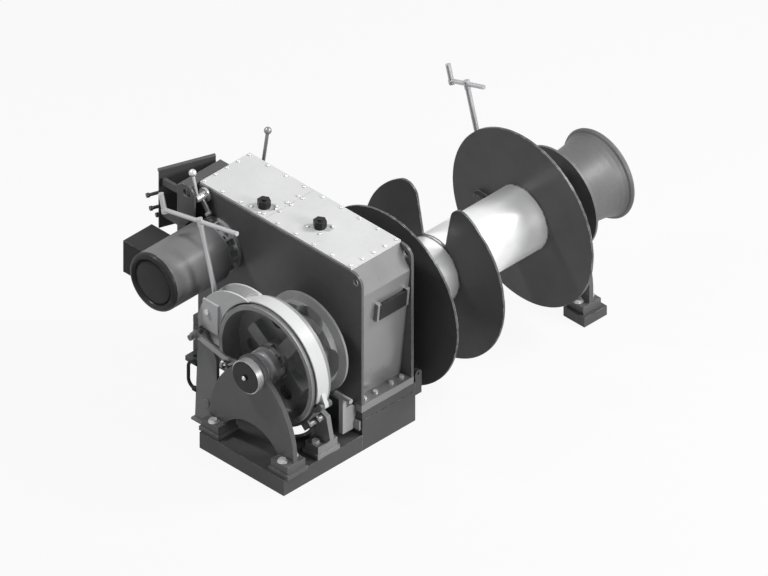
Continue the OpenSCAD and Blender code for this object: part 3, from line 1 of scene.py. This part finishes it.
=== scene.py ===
import math
import bpy
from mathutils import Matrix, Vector


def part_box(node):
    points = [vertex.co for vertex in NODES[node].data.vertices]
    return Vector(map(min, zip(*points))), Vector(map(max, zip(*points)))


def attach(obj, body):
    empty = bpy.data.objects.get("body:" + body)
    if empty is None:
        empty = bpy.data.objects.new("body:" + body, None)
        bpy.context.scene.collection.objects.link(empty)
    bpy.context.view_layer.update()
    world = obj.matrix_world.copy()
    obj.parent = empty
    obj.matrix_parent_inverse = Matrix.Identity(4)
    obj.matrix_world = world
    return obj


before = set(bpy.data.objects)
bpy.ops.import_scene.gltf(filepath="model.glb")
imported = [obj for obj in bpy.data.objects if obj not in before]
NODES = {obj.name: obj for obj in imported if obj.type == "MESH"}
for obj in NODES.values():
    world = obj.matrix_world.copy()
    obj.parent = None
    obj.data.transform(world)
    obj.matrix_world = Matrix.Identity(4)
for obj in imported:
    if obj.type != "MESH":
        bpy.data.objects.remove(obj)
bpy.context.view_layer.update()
AXIS_H = 0.565

scene = bpy.context.scene
scene.view_settings.view_transform = "Standard"

# Camera: the photograph is an isometric, orthographic view
AIM = Vector((0.3305, 0.058, AXIS_H))
VIEW_FROM = Vector((-1, -1, 1))
CAMERA_STEPS = 6
cam_data = bpy.data.cameras.new("photo_camera")
cam_data.type = "ORTHO"
cam_data.ortho_scale = 3.84
cam_data.clip_end = 60
camera = bpy.data.objects.new("photo_camera", cam_data)
camera.location = AIM + VIEW_FROM * CAMERA_STEPS
camera.rotation_euler = (AIM - camera.location).to_track_quat("-Z", "Y").to_euler()
scene.collection.objects.link(camera)
scene.camera = camera


# ---- Materials -------------------------------------------------------------
PALE_EDGE_STEEL = (0.72, 0.72, 0.73)
BARE_IRON = (0.68, 0.68, 0.69)


class Graph:
    """Short calls for building one material's nodes."""

    def __init__(self, name):
        self.mat = bpy.data.materials.new(name)
        self.mat.use_nodes = True
        self.tree = self.mat.node_tree
        self.tree.nodes.clear()
        self.out = self.tree.nodes.new("ShaderNodeOutputMaterial")
        self.bsdf = self.tree.nodes.new("ShaderNodeBsdfPrincipled")
        self.link(self.bsdf.outputs[0], self.out.inputs[0])
        self.coord = self.tree.nodes.new("ShaderNodeTexCoord").outputs["Object"]

    def link(self, a, b):
        self.tree.links.new(a, b)

    def noise(self, scale, detail=4.0, stretch=(1, 1, 1), rough=0.55, shift=(0, 0, 0)):
        m = self.tree.nodes.new("ShaderNodeMapping")
        m.inputs["Scale"].default_value = stretch
        m.inputs["Location"].default_value = shift
        n = self.tree.nodes.new("ShaderNodeTexNoise")
        n.inputs["Scale"].default_value = scale
        n.inputs["Detail"].default_value = detail
        n.inputs["Roughness"].default_value = rough
        self.link(self.coord, m.inputs["Vector"])
        self.link(m.outputs[0], n.inputs["Vector"])
        return n.outputs["Fac"]

    def ramp(self, fac, stops):
        r = self.tree.nodes.new("ShaderNodeValToRGB")
        e = r.color_ramp.elements
        while len(e) > 2:
            e.remove(e[-1])
        for i, (p, v) in enumerate(stops):
            el = e[i] if i < 2 else e.new(p)
            el.position = p
            el.color = (v, v, v, 1) if not isinstance(v, tuple) else (*v, 1)
        self.link(fac, r.inputs[0])
        return r.outputs[0]

    def mix(self, fac, a, b, mode="MIX"):
        m = self.tree.nodes.new("ShaderNodeMix")
        m.data_type = "RGBA"
        m.blend_type = mode
        for sock, v in ((m.inputs[0], fac), (m.inputs[6], a), (m.inputs[7], b)):
            if isinstance(v, (int, float)):
                sock.default_value = v
            elif isinstance(v, tuple):
                sock.default_value = (*v, 1)
            else:
                self.link(v, sock)
        return m.outputs[2]

    def math(self, op, a, b=0.0):
        m = self.tree.nodes.new("ShaderNodeMath")
        m.operation = op
        for sock, v in ((m.inputs[0], a), (m.inputs[1], b)):
            if isinstance(v, (int, float)):
                sock.default_value = v
            else:
                self.link(v, sock)
        return m.outputs[0]

    def edge(self, radius, low=0.02, high=0.16):
        """1 on sharp edges and 0 on flats."""
        geo = self.tree.nodes.new("ShaderNodeNewGeometry")
        bev = self.tree.nodes.new("ShaderNodeBevel")
        bev.samples = 4
        bev.inputs["Radius"].default_value = radius
        dot = self.tree.nodes.new("ShaderNodeVectorMath")
        dot.operation = "DOT_PRODUCT"
        self.link(bev.outputs[0], dot.inputs[0])
        self.link(geo.outputs["Normal"], dot.inputs[1])
        return self.ramp(self.math("SUBTRACT", 1.0, dot.outputs["Value"]), [(low, 0.0), (high, 1.0)])

    def bump(self, height, strength, distance, round_edge=0.0):
        b = self.tree.nodes.new("ShaderNodeBump")
        b.inputs["Strength"].default_value = strength
        b.inputs["Distance"].default_value = distance
        self.link(height, b.inputs["Height"])
        if round_edge:
            bev = self.tree.nodes.new("ShaderNodeBevel")
            bev.samples = 4
            bev.inputs["Radius"].default_value = round_edge
            self.link(bev.outputs[0], b.inputs["Normal"])
        self.link(b.outputs[0], self.bsdf.inputs["Normal"])

    def put(self, name, value):
        sock = self.bsdf.inputs[name]
        if isinstance(value, (int, float)):
            sock.default_value = value
        elif isinstance(value, tuple):
            sock.default_value = (*value, 1)
        else:
            self.link(value, sock)


def scaled(c, k):
    return tuple(min(1.0, v * k) for v in c)


def paint(name, color, rough=0.38, orange_peel=0.2, pale_edge_amount=0.5, grime=0.12, edge_r=0.002, coat=0.12,
          gloss=0.22):
    """Marine enamel: soft blotches, orange peel, darker grime and pale edges; the pale edges are rubbed wear,
    and on the drum flanges, at full strength, also a painted highlight on the rims.
    """
    g = Graph(name)
    blotch = g.noise(3.2, 5, shift=(3, 1, 2))
    fine = g.noise(46, 3)
    base = g.mix(g.ramp(blotch, [(0.3, 0.0), (0.72, 1.0)]), scaled(color, 1 - grime),
                 scaled(color, 1 + grime * 0.6))
    base = g.mix(g.math("MULTIPLY", g.ramp(fine, [(0.52, 0.0), (0.75, 1.0)]), 0.25), base, scaled(color, 0.8))
    # Edges mixed in spots towards pale bare steel: rubbed wear, and at full strength on the drum flanges also
    # a painted highlight on the rims.
    spots = g.ramp(g.noise(24, 4, shift=(7, 7, 7)), [(0.42, 0.0), (0.62, 1.0)])
    pale_edge_mask = g.math("MULTIPLY", g.edge(edge_r * 1.6), spots)
    base = g.mix(g.math("MULTIPLY", pale_edge_mask, pale_edge_amount), base, PALE_EDGE_STEEL)
    g.put("Base Color", base)
    g.put("Roughness", g.ramp(g.noise(9, 4, shift=(1, 5, 2)), [(0.3, rough - 0.05), (0.7, rough + 0.1)]))
    g.put("Metallic", 0.0)
    g.put("Specular IOR Level", gloss)
    g.put("Coat Weight", coat)
    g.put("Coat Roughness", 0.22)
    g.bump(g.noise(160, 2), orange_peel, 0.0006, edge_r)
    return g.mat


def cast(name, color, rough=0.5, pale_edge_amount=0.4, edge_r=0.003):
    """Painted casting: sandy grain under the paint."""
    g = Graph(name)
    grain = g.noise(120, 6, rough=0.65)
    blotch = g.noise(4, 5, shift=(2, 8, 1))
    base = g.mix(g.ramp(blotch, [(0.3, 0.0), (0.7, 1.0)]), scaled(color, 0.86), scaled(color, 1.1))
    base = g.mix(g.math("MULTIPLY", g.ramp(grain, [(0.4, 1.0), (0.55, 0.0)]), 0.3), base, scaled(color, 0.65))
    pale_edge_mask = g.math("MULTIPLY", g.edge(edge_r * 1.4), g.ramp(g.noise(30, 4), [(0.4, 0.0), (0.65, 1.0)]))
    base = g.mix(g.math("MULTIPLY", pale_edge_mask, pale_edge_amount), base, BARE_IRON)
    g.put("Base Color", base)
    g.put("Roughness", g.ramp(grain, [(0.3, rough - 0.06), (0.7, rough + 0.12)]))
    g.bump(grain, 0.45, 0.0012, edge_r)
    return g.mat


def turned(name, color, rough=0.3, metallic=0.75, line_scale=900, line_mix=0.22):
    """Machined steel with fine tool lines round the X axis."""
    g = Graph(name)
    lines = g.noise(line_scale, 3, stretch=(1, 0.02, 0.02))
    blotch = g.noise(6, 5, shift=(4, 2, 9))
    base = g.mix(g.ramp(blotch, [(0.3, 0.0), (0.7, 1.0)]), scaled(color, 0.88), scaled(color, 1.08))
    cuts = g.ramp(lines, [(0.4, 1.0), (0.6, 0.0)])
    base = g.mix(g.math("MULTIPLY", cuts, line_mix), base, scaled(color, 0.8))
    g.put("Base Color", base)
    g.put("Metallic", metallic)
    g.put("Roughness", g.ramp(lines, [(0.35, rough - 0.06), (0.65, rough + 0.1)]))
    g.bump(lines, 0.18, 0.0004, 0.0012)
    return g.mat


def plated(name, color=(0.8, 0.8, 0.8)):
    """Zinc-plated bolts."""
    g = Graph(name)
    spots = g.noise(90, 4)
    shade = g.ramp(spots, [(0.35, 0.0), (0.7, 1.0)])
    g.put("Base Color", g.mix(shade, scaled(color, 0.78), scaled(color, 1.05)))
    g.put("Metallic", 0.55)
    g.put("Roughness", g.ramp(spots, [(0.3, 0.28), (0.7, 0.45)]))
    g.bump(g.noise(300, 2), 0.2, 0.0003, 0.0012)
    return g.mat


def plastic(name, color, rough=0.3):
    """Dark moulded plastic or black lacquer with a fine grain."""
    g = Graph(name)
    fine = g.noise(240, 3)
    g.put("Base Color", g.mix(g.ramp(fine, [(0.35, 0.0), (0.7, 1.0)]), color, scaled(color, 1.7)))
    g.put("Roughness", g.ramp(g.noise(20, 3), [(0.3, rough), (0.7, rough + 0.15)]))
    g.put("Specular IOR Level", 0.22)
    g.bump(fine, 0.15, 0.0003, 0.0015)
    return g.mat


def woven(name, color):
    """Woven brake lining."""
    g = Graph(name)
    w = g.tree.nodes.new("ShaderNodeTexWave")
    w.inputs["Scale"].default_value = 130
    w.inputs["Distortion"].default_value = 1.5
    g.link(g.coord, w.inputs["Vector"])
    weave = g.mix(0.5, w.outputs["Color"], g.ramp(g.noise(180, 4), [(0.3, 0.0), (0.7, 1.0)]))
    g.put("Base Color", g.mix(weave, scaled(color, 0.7), scaled(color, 1.25)))
    g.put("Roughness", 0.85)
    g.bump(weave, 0.4, 0.0008)
    return g.mat


MATS = {
    "base": paint("mat_base", (0.07, 0.07, 0.072), 0.42),
    "plate": paint("mat_plate", (0.115, 0.115, 0.117), 0.4),
    "post": paint("mat_post", (0.24, 0.24, 0.243), 0.4),
    "pale": paint("mat_pale", (0.42, 0.42, 0.425), 0.36),
    "band_pale": paint("mat_band_pale", (0.68, 0.68, 0.683), 0.34, orange_peel=0.12, pale_edge_amount=0.3, grime=0.05),
    "band_paint": paint("mat_band_paint", (0.12, 0.12, 0.122), 0.42),
    "shell": paint("mat_shell", (0.19, 0.19, 0.193), 0.32, coat=0.8, gloss=0.5, grime=0.06),
    "cover": paint("mat_cover", (0.66, 0.66, 0.66), 0.4, pale_edge_amount=0.2, grime=0.07),
    "cast": cast("mat_cast", (0.1, 0.1, 0.102)),
    "wheel": cast("mat_wheel", (0.3, 0.3, 0.303), 0.36),
    # Edges painted pale at full strength: partly rim wear, partly a painted highlight standing in for the
    # light on the flange rims.
    "drum_plate": paint("mat_drum_plate_rim_wear_and_highlight", (0.07, 0.07, 0.071), 0.42, pale_edge_amount=1.0, edge_r=0.0035),
    "bright": turned("mat_bright", (0.66, 0.66, 0.66), 0.3, metallic=0.6),
    "barrel": turned("mat_barrel", (0.86, 0.86, 0.86), 0.34, metallic=0.45, line_scale=1500, line_mix=0.08),
    "steel": turned("mat_steel", (0.5, 0.5, 0.51), 0.34, metallic=0.7),
    "dark_steel": turned("mat_dark_steel", (0.28, 0.28, 0.285), 0.38, metallic=0.6),
    "bolt": plated("mat_bolt"),
    "bronze": turned("mat_bronze", (0.4, 0.33, 0.24), 0.4),
    "black": plastic("mat_black", (0.012, 0.012, 0.013), 0.28),
    "lining": woven("mat_lining", (0.12, 0.1, 0.08)),
    "rubber": plastic("mat_rubber", (0.015, 0.015, 0.015), 0.55),
    "motor": paint("mat_motor", (0.17, 0.17, 0.172), 0.46, coat=0.1),
    "motor_end": paint("mat_motor_end", (0.035, 0.035, 0.036), 0.42, coat=0.05, gloss=0.12),
    "motor_box": paint("mat_motor_box", (0.035, 0.035, 0.036), 0.46, coat=0.0, gloss=0.1),
    "head": cast("mat_head", (0.115, 0.115, 0.117), 0.45),
    "panel": paint("mat_panel", (0.09, 0.09, 0.092), 0.4),
}
FINISH = {
    "base": "front_base gear_bed bed_lugs chain_pipe_ring far_deck_pads",
    "plate": "front_side_plate rear_side_plate shift_mounts",
    "post": "fork_post",
    "shell": "gearcase_shell nameplate_frame brake_anchors",
    "pale": "chain_stripper motor_flange",
    "cover": "gearcase_cover",
    "cast": "front_pedestal far_pedestal",
    "wheel": "chain_wheel",
    "drum_plate": "near_drum_flange notched_drum_flange far_drum_flange",
    "bright": "bearing_housings front_shift_lever",
    "band_pale": "near_upper_band",
    "barrel": "drum_barrel",
    "steel": "main_shaft shaft_keys main_gear second_shaft_gears third_shaft_gears motor_shaft_pinion "
             "clutch_sleeve drum_clutch_fork far_upper_band near_brake_screw far_brake_screw",
    "dark_steel": "drum_shift_lever drum_clutch_sleeve clutch_fork",
    "band_paint": "near_lower_band far_lower_band",
    "bolt": "foot_bolts cover_screws flange_bolts",
    "bronze": "bearing_bushes gearcase_bushes chain_wheel_bushes drum_bushes",
    "black": "vent_plugs nameplate front_bearing_cap",
    "lining": "near_upper_lining near_lower_lining",
    "rubber": "pipe_loop",
    "motor": "motor_body",
    "motor_box": "motor_connection_box",
    "motor_end": "motor_end_cover",
    "head": "warping_head",
    "panel": "valve_stand valve_panel",
}
for key, names in FINISH.items():
    for n in names.split():
        obj = NODES[n]
        for slot in obj.material_slots:
            slot.material = MATS[key]
        if not obj.material_slots:
            obj.data.materials.append(MATS[key])


def piece(name, verts, faces, key, body, smooth=False):
    """One mesh object that rides on a body and takes its finish from a slot."""
    mesh = bpy.data.meshes.new(name)
    mesh.from_pydata(verts, [], faces)
    mesh.materials.append(MATS[key])
    for poly in mesh.polygons:
        poly.use_smooth = smooth
    obj = bpy.data.objects.new(name, mesh)
    scene.collection.objects.link(obj)
    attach(obj, body)
    return obj


def frame_of(axis):
    """Two directions across the given axis."""
    z = Vector(axis).normalized()
    x = z.orthogonal().normalized()
    return x, z.cross(x), z


BEAD_STEP = 0.006


class Shapes:
    """Gathers several closed shapes into one mesh."""

    def __init__(self):
        self.verts = []
        self.faces = []

    def row(self, centre, x, y, r, n):
        """The n points of one circle."""
        for i in range(n):
            a = 2 * math.pi * i / n
            self.verts.append(centre + (x * math.cos(a) + y * math.sin(a)) * r)

    def band(self, low, high, n):
        """Faces between two circles that start at these points."""
        for i in range(n):
            j = (i + 1) % n
            self.faces.append((low + i, low + j, high + j, high + i))

    def caps(self, first, last, n):
        self.faces.append(tuple(first + i for i in reversed(range(n))))
        self.faces.append(tuple(last + i for i in range(n)))

    def lathe(self, at, axis, profile, n=32):
        """A turned solid from (radius, height) pairs, capped at both ends."""
        x, y, z = frame_of(axis)
        first = len(self.verts)
        for r, h in profile:
            self.row(Vector(at) + z * h, x, y, r, n)
        rows = len(profile)
        for k in range(rows - 1):
            self.band(first + k * n, first + (k + 1) * n, n)
        self.caps(first, first + (rows - 1) * n, n)

    def ring(self, at, axis, r_in, r_out, thick, n=32):
        """A flat ring with a square section."""
        x, y, z = frame_of(axis)
        first = len(self.verts)
        for r, h in ((r_in, 0), (r_out, 0), (r_out, thick), (r_in, thick)):
            self.row(Vector(at) + z * h, x, y, r, n)
        for k in range(4):
            self.band(first + k * n, first + (k + 1) % 4 * n, n)

    def bead(self, points, r, n=8):
        """A weld bead: a round string along a line, a little lumpy."""
        pts = [Vector(p) for p in points]
        path = []
        for a, b in zip(pts, pts[1:]):
            steps = max(2, int((b - a).length / BEAD_STEP))
            path += [a.lerp(b, i / steps) for i in range(steps)]
        path.append(pts[-1])
        first = len(self.verts)
        for k, p in enumerate(path):
            nxt = path[min(k + 1, len(path) - 1)]
            prev = path[max(k - 1, 0)]
            x, y, _ = frame_of(nxt - prev)
            size = r * (1 + 0.14 * math.sin(k * 2.1) + 0.08 * math.sin(k * 0.83 + 1))
            self.row(p, x, y, size, n)
        for k in range(len(path) - 1):
            self.band(first + k * n, first + (k + 1) * n, n)
        self.caps(first, first + (len(path) - 1) * n, n)

    def helix(self, at, axis, r_in, r_out, pitch, length, per_turn=24):
        """One thread ridge with a triangular section."""
        x, y, z = frame_of(axis)
        at = Vector(at)
        turns = length / pitch
        steps = int(turns * per_turn)
        first = len(self.verts)
        for k in range(steps + 1):
            a = 2 * math.pi * k / per_turn
            h = pitch * k / per_turn
            d = x * math.cos(a) + y * math.sin(a)
            fade = min(1.0, k / 6, (steps - k) / 6)
            for r, dh in ((r_in, -0.36), (r_in + (r_out - r_in) * fade, 0.0), (r_in, 0.36)):
                self.verts.append(at + d * r + z * (h + dh * pitch))
        for k in range(steps):
            for i in range(3):
                j = (i + 1) % 3
                low = first + 3 * k
                self.faces.append((low + i, low + j, low + 3 + j, low + 3 + i))
        self.faces.append((first + 2, first + 1, first))
        last = first + 3 * steps
        self.faces.append((last, last + 1, last + 2))

    def make(self, name, key, body, smooth=False):
        return piece(name, self.verts, self.faces, key, body, smooth)


def lowhigh(node):
    return [Vector(c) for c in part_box(node)]


# Dimensions of part.scad that the details need, in metres
SCREW_TILT = math.radians(15.5)
SCREW_DIR = Vector((0, math.sin(SCREW_TILT), math.cos(SCREW_TILT)))
SCREW_R = 0.014
FOOT_BOLT_X = 0.038
FOOT_BOLT_Y = 0.244
FOOT_Y = (0.192, 0.296)
PED_T = 0.028
BARREL_R = 0.18
FRONT_TOP = 0.165
FAR_TOP = 0.1
cap_low = lowhigh("front_bearing_cap")[0]
pad_low = lowhigh("near_upper_band")[0]
FEET = [((low.x + high.x) / 2, top) for (low, high), top in
        ((lowhigh("front_pedestal"), FRONT_TOP), (lowhigh("far_pedestal"), FAR_TOP))]

WASHER = (0.0125, 0.027, 0.0035)  # bore, outside and thickness
WELD_R = 0.0045
washers = Shapes()
beads = Shapes()
for x_mid, z in FEET:
    for k in (-1, 1):
        for s in (-1, 1):
            washers.ring((x_mid + k * FOOT_BOLT_X, s * FOOT_BOLT_Y, z), (0, 0, 1), *WASHER)
            x = x_mid + k * PED_T / 2
            beads.bead([(x, s * FOOT_Y[0], z), (x, s * FOOT_Y[1], z)], WELD_R)
washers.make("foot_washers", "bolt", "frame")
beads.make("pedestal_welds", "cast", "frame", True)

DOME = [(0.0125, 0), (0.0125, 0.003), (0.0105, 0.0062), (0.0065, 0.0086), (0.0005, 0.0096)]
dome = Shapes()
dome.lathe((cap_low.x + 0.0004, 0, AXIS_H), (-1, 0, 0), DOME)
dome.make("cap_centre_bolt", "bolt", "frame", True)

PAD_BOLT_YZ = (0.411, 0.125)
pad_bolt = Shapes()
pad_bolt.lathe((pad_low.x + 0.002, PAD_BOLT_YZ[0], AXIS_H + PAD_BOLT_YZ[1]), (-1, 0, 0),
               [(0.016, 0), (0.016, 0.0105), (0.014, 0.013)], 6)
pad_bolt.make("pad_plate_bolt", "bolt", "near_upper_band")

THREAD_PITCH = 0.006
THREAD_IN, THREAD_OUT = 0.0004, 0.0016


def screw_thread(name, x, line_y, line_z, z_from, z_to, body):
    """The thread of a brake screw, whose line passes through (line_y, line_z), in millimetres."""
    slope = math.tan(SCREW_TILT)
    at = Vector((x, (line_y + (z_from - line_z) * slope) / 1000, AXIS_H + z_from / 1000))
    length = (z_to - z_from) / 1000 / math.cos(SCREW_TILT)
    thread = Shapes()
    thread.helix(at, SCREW_DIR, SCREW_R - THREAD_IN, SCREW_R + THREAD_OUT, THREAD_PITCH, length)
    thread.make(name, "steel", body)


NEAR_X = -0.503
FAR_X = 1.351
THREAD_TOP = 30
screw_thread("near_screw_thread", NEAR_X, 420, 209, -216, THREAD_TOP, "near_brake_screw")
screw_thread("far_screw_thread", FAR_X, 426, 283, -164, THREAD_TOP, "far_brake_screw")

# Domed heads of the cover's screws: two long rows, four short ones and a square about each plug
COVER_Z = lowhigh("gearcase_cover")[1].z
SCREW_X = 0.16
SCREW_Y = (-0.2, 0.836)
LONG_ROW = 9
ROW_STEP = (SCREW_Y[1] - SCREW_Y[0]) / (LONG_ROW - 1)
SEAM_Y = 0.396
SEAM_OFF = 0.015
VENTS = ((-0.032, 0.148), (-0.105, 0.471))
VENT_RING = 0.062
HEAD = [(0.0088, 0), (0.0088, 0.0035), (0.0072, 0.0058), (0.004, 0.0074), (0.0004, 0.0079)]
places = [(s * SCREW_X, SCREW_Y[0] + i * ROW_STEP) for s in (-1, 1) for i in range(LONG_ROW)]
places += [(k * SCREW_X / 2, y) for k in (-1, 0, 1)
           for y in (SCREW_Y[0], SEAM_Y - SEAM_OFF, SEAM_Y + SEAM_OFF, SCREW_Y[1])]
places += [(x + VENT_RING * math.cos(math.radians(a)), y + VENT_RING * math.sin(math.radians(a)))
           for x, y in VENTS for a in (45, 135, 225, 315)]
domes = Shapes()
for x, y in places:
    domes.lathe((x, y, COVER_Z), (0, 0, 1), HEAD, 16)
domes.make("cover_screw_heads", "bolt", "frame", True)

# Weld rings where the barrel meets its flanges
RING_WELD = 0.004
seams = Shapes()
notch_low, notch_high = lowhigh("notched_drum_flange")
barrel_low, barrel_high = lowhigh("drum_barrel")
for x, way in ((barrel_low.x, 1), (notch_low.x, -1), (notch_high.x, 1), (barrel_high.x, -1)):
    seams.ring((x, 0, AXIS_H), (way, 0, 0), BARREL_R, BARREL_R + RING_WELD, RING_WELD, 96)
# The weld rings share the drum flanges' finish, so their edges carry the same wear and painted highlight.
seams.make("barrel_welds", "drum_plate", "rope_drum")


# ---- Stage and light ---------------------------------------------------------
def math_node(tree, op, a, b):
    """A Math node: an input is linked if it is a socket, and set if it is a number."""
    m = tree.nodes.new("ShaderNodeMath")
    m.operation = op
    for sock, v in ((m.inputs[0], a), (m.inputs[1], b)):
        if isinstance(v, (int, float)):
            sock.default_value = v
        else:
            tree.links.new(v, sock)
    return m.outputs[0]


def background_rays(tree):
    """1 for the rays that show the white background: camera, glossy and transmission."""
    path = tree.nodes.new("ShaderNodeLightPath")
    seen = path.outputs["Is Camera Ray"]
    for ray in ("Is Glossy Ray", "Is Transmission Ray"):
        seen = math_node(tree, "MAXIMUM", seen, path.outputs[ray])
    return seen


FLOOR_GLOW = 0.92


def stage_material():
    mat = bpy.data.materials.new("mat_floor")
    mat.use_nodes = True
    t = mat.node_tree
    t.nodes.clear()
    out = t.nodes.new("ShaderNodeOutputMaterial")
    mixer = t.nodes.new("ShaderNodeMixShader")
    glow = t.nodes.new("ShaderNodeEmission")
    glow.inputs["Color"].default_value = (1, 1, 1, 1)
    dull = t.nodes.new("ShaderNodeBsdfDiffuse")
    dull.inputs["Color"].default_value = (0.5, 0.5, 0.5, 1)
    t.links.new(dull.outputs[0], mixer.inputs[1])
    t.links.new(glow.outputs[0], mixer.inputs[2])
    amount = math_node(t, "MULTIPLY", background_rays(t), FLOOR_GLOW)
    t.links.new(amount, mixer.inputs[0])
    t.links.new(mixer.outputs[0], out.inputs[0])
    return mat


floor_mesh = bpy.data.meshes.new("floor")
HALF = 30
FLOOR_Z = -0.0005
corners = [(-HALF, -HALF, 0), (HALF, -HALF, 0), (HALF, HALF, 0), (-HALF, HALF, 0)]
floor_mesh.from_pydata(corners, [], [(0, 1, 2, 3)])
floor = bpy.data.objects.new("floor", floor_mesh)
floor_mesh.materials.append(stage_material())
floor.location.z = FLOOR_Z
scene.collection.objects.link(floor)


def lamp(name, at, target, size, power):
    data = bpy.data.lights.new(name, "AREA")
    data.shape = "SQUARE"
    data.size = size
    data.energy = power
    o = bpy.data.objects.new(name, data)
    o.location = at
    o.rotation_euler = (Vector(target) - Vector(at)).to_track_quat("-Z", "Y").to_euler()
    scene.collection.objects.link(o)


CENTRE = (0.5, 0.1, 0.5)
lamp("key_right", (1.2, -5.4, 2.8), CENTRE, 1.6, 190)
lamp("sheen_box", (3.96, -2.69, 4.56), CENTRE, 1.9, 300)
lamp("top_left", (-2.0, 2.9, 5.0), CENTRE, 0.7, 150)
lamp("left_fill", (-5.5, -0.5, 2.6), CENTRE, 3.5, 3)

world = bpy.data.worlds.new("studio")
scene.world = world
world.use_nodes = True
wt = world.node_tree
wt.nodes.clear()
w_out = wt.nodes.new("ShaderNodeOutputWorld")
w_light = wt.nodes.new("ShaderNodeBackground")
w_light.inputs[0].default_value = (0.92, 0.95, 1.0, 1)
w_light.inputs[1].default_value = 0.11
w_white = wt.nodes.new("ShaderNodeBackground")
w_white.inputs[0].default_value = (1, 1, 1, 1)
w_white.inputs[1].default_value = 1.0
w_mix = wt.nodes.new("ShaderNodeMixShader")
wt.links.new(background_rays(wt), w_mix.inputs[0])
wt.links.new(w_light.outputs[0], w_mix.inputs[1])
wt.links.new(w_white.outputs[0], w_mix.inputs[2])
wt.links.new(w_mix.outputs[0], w_out.inputs[0])
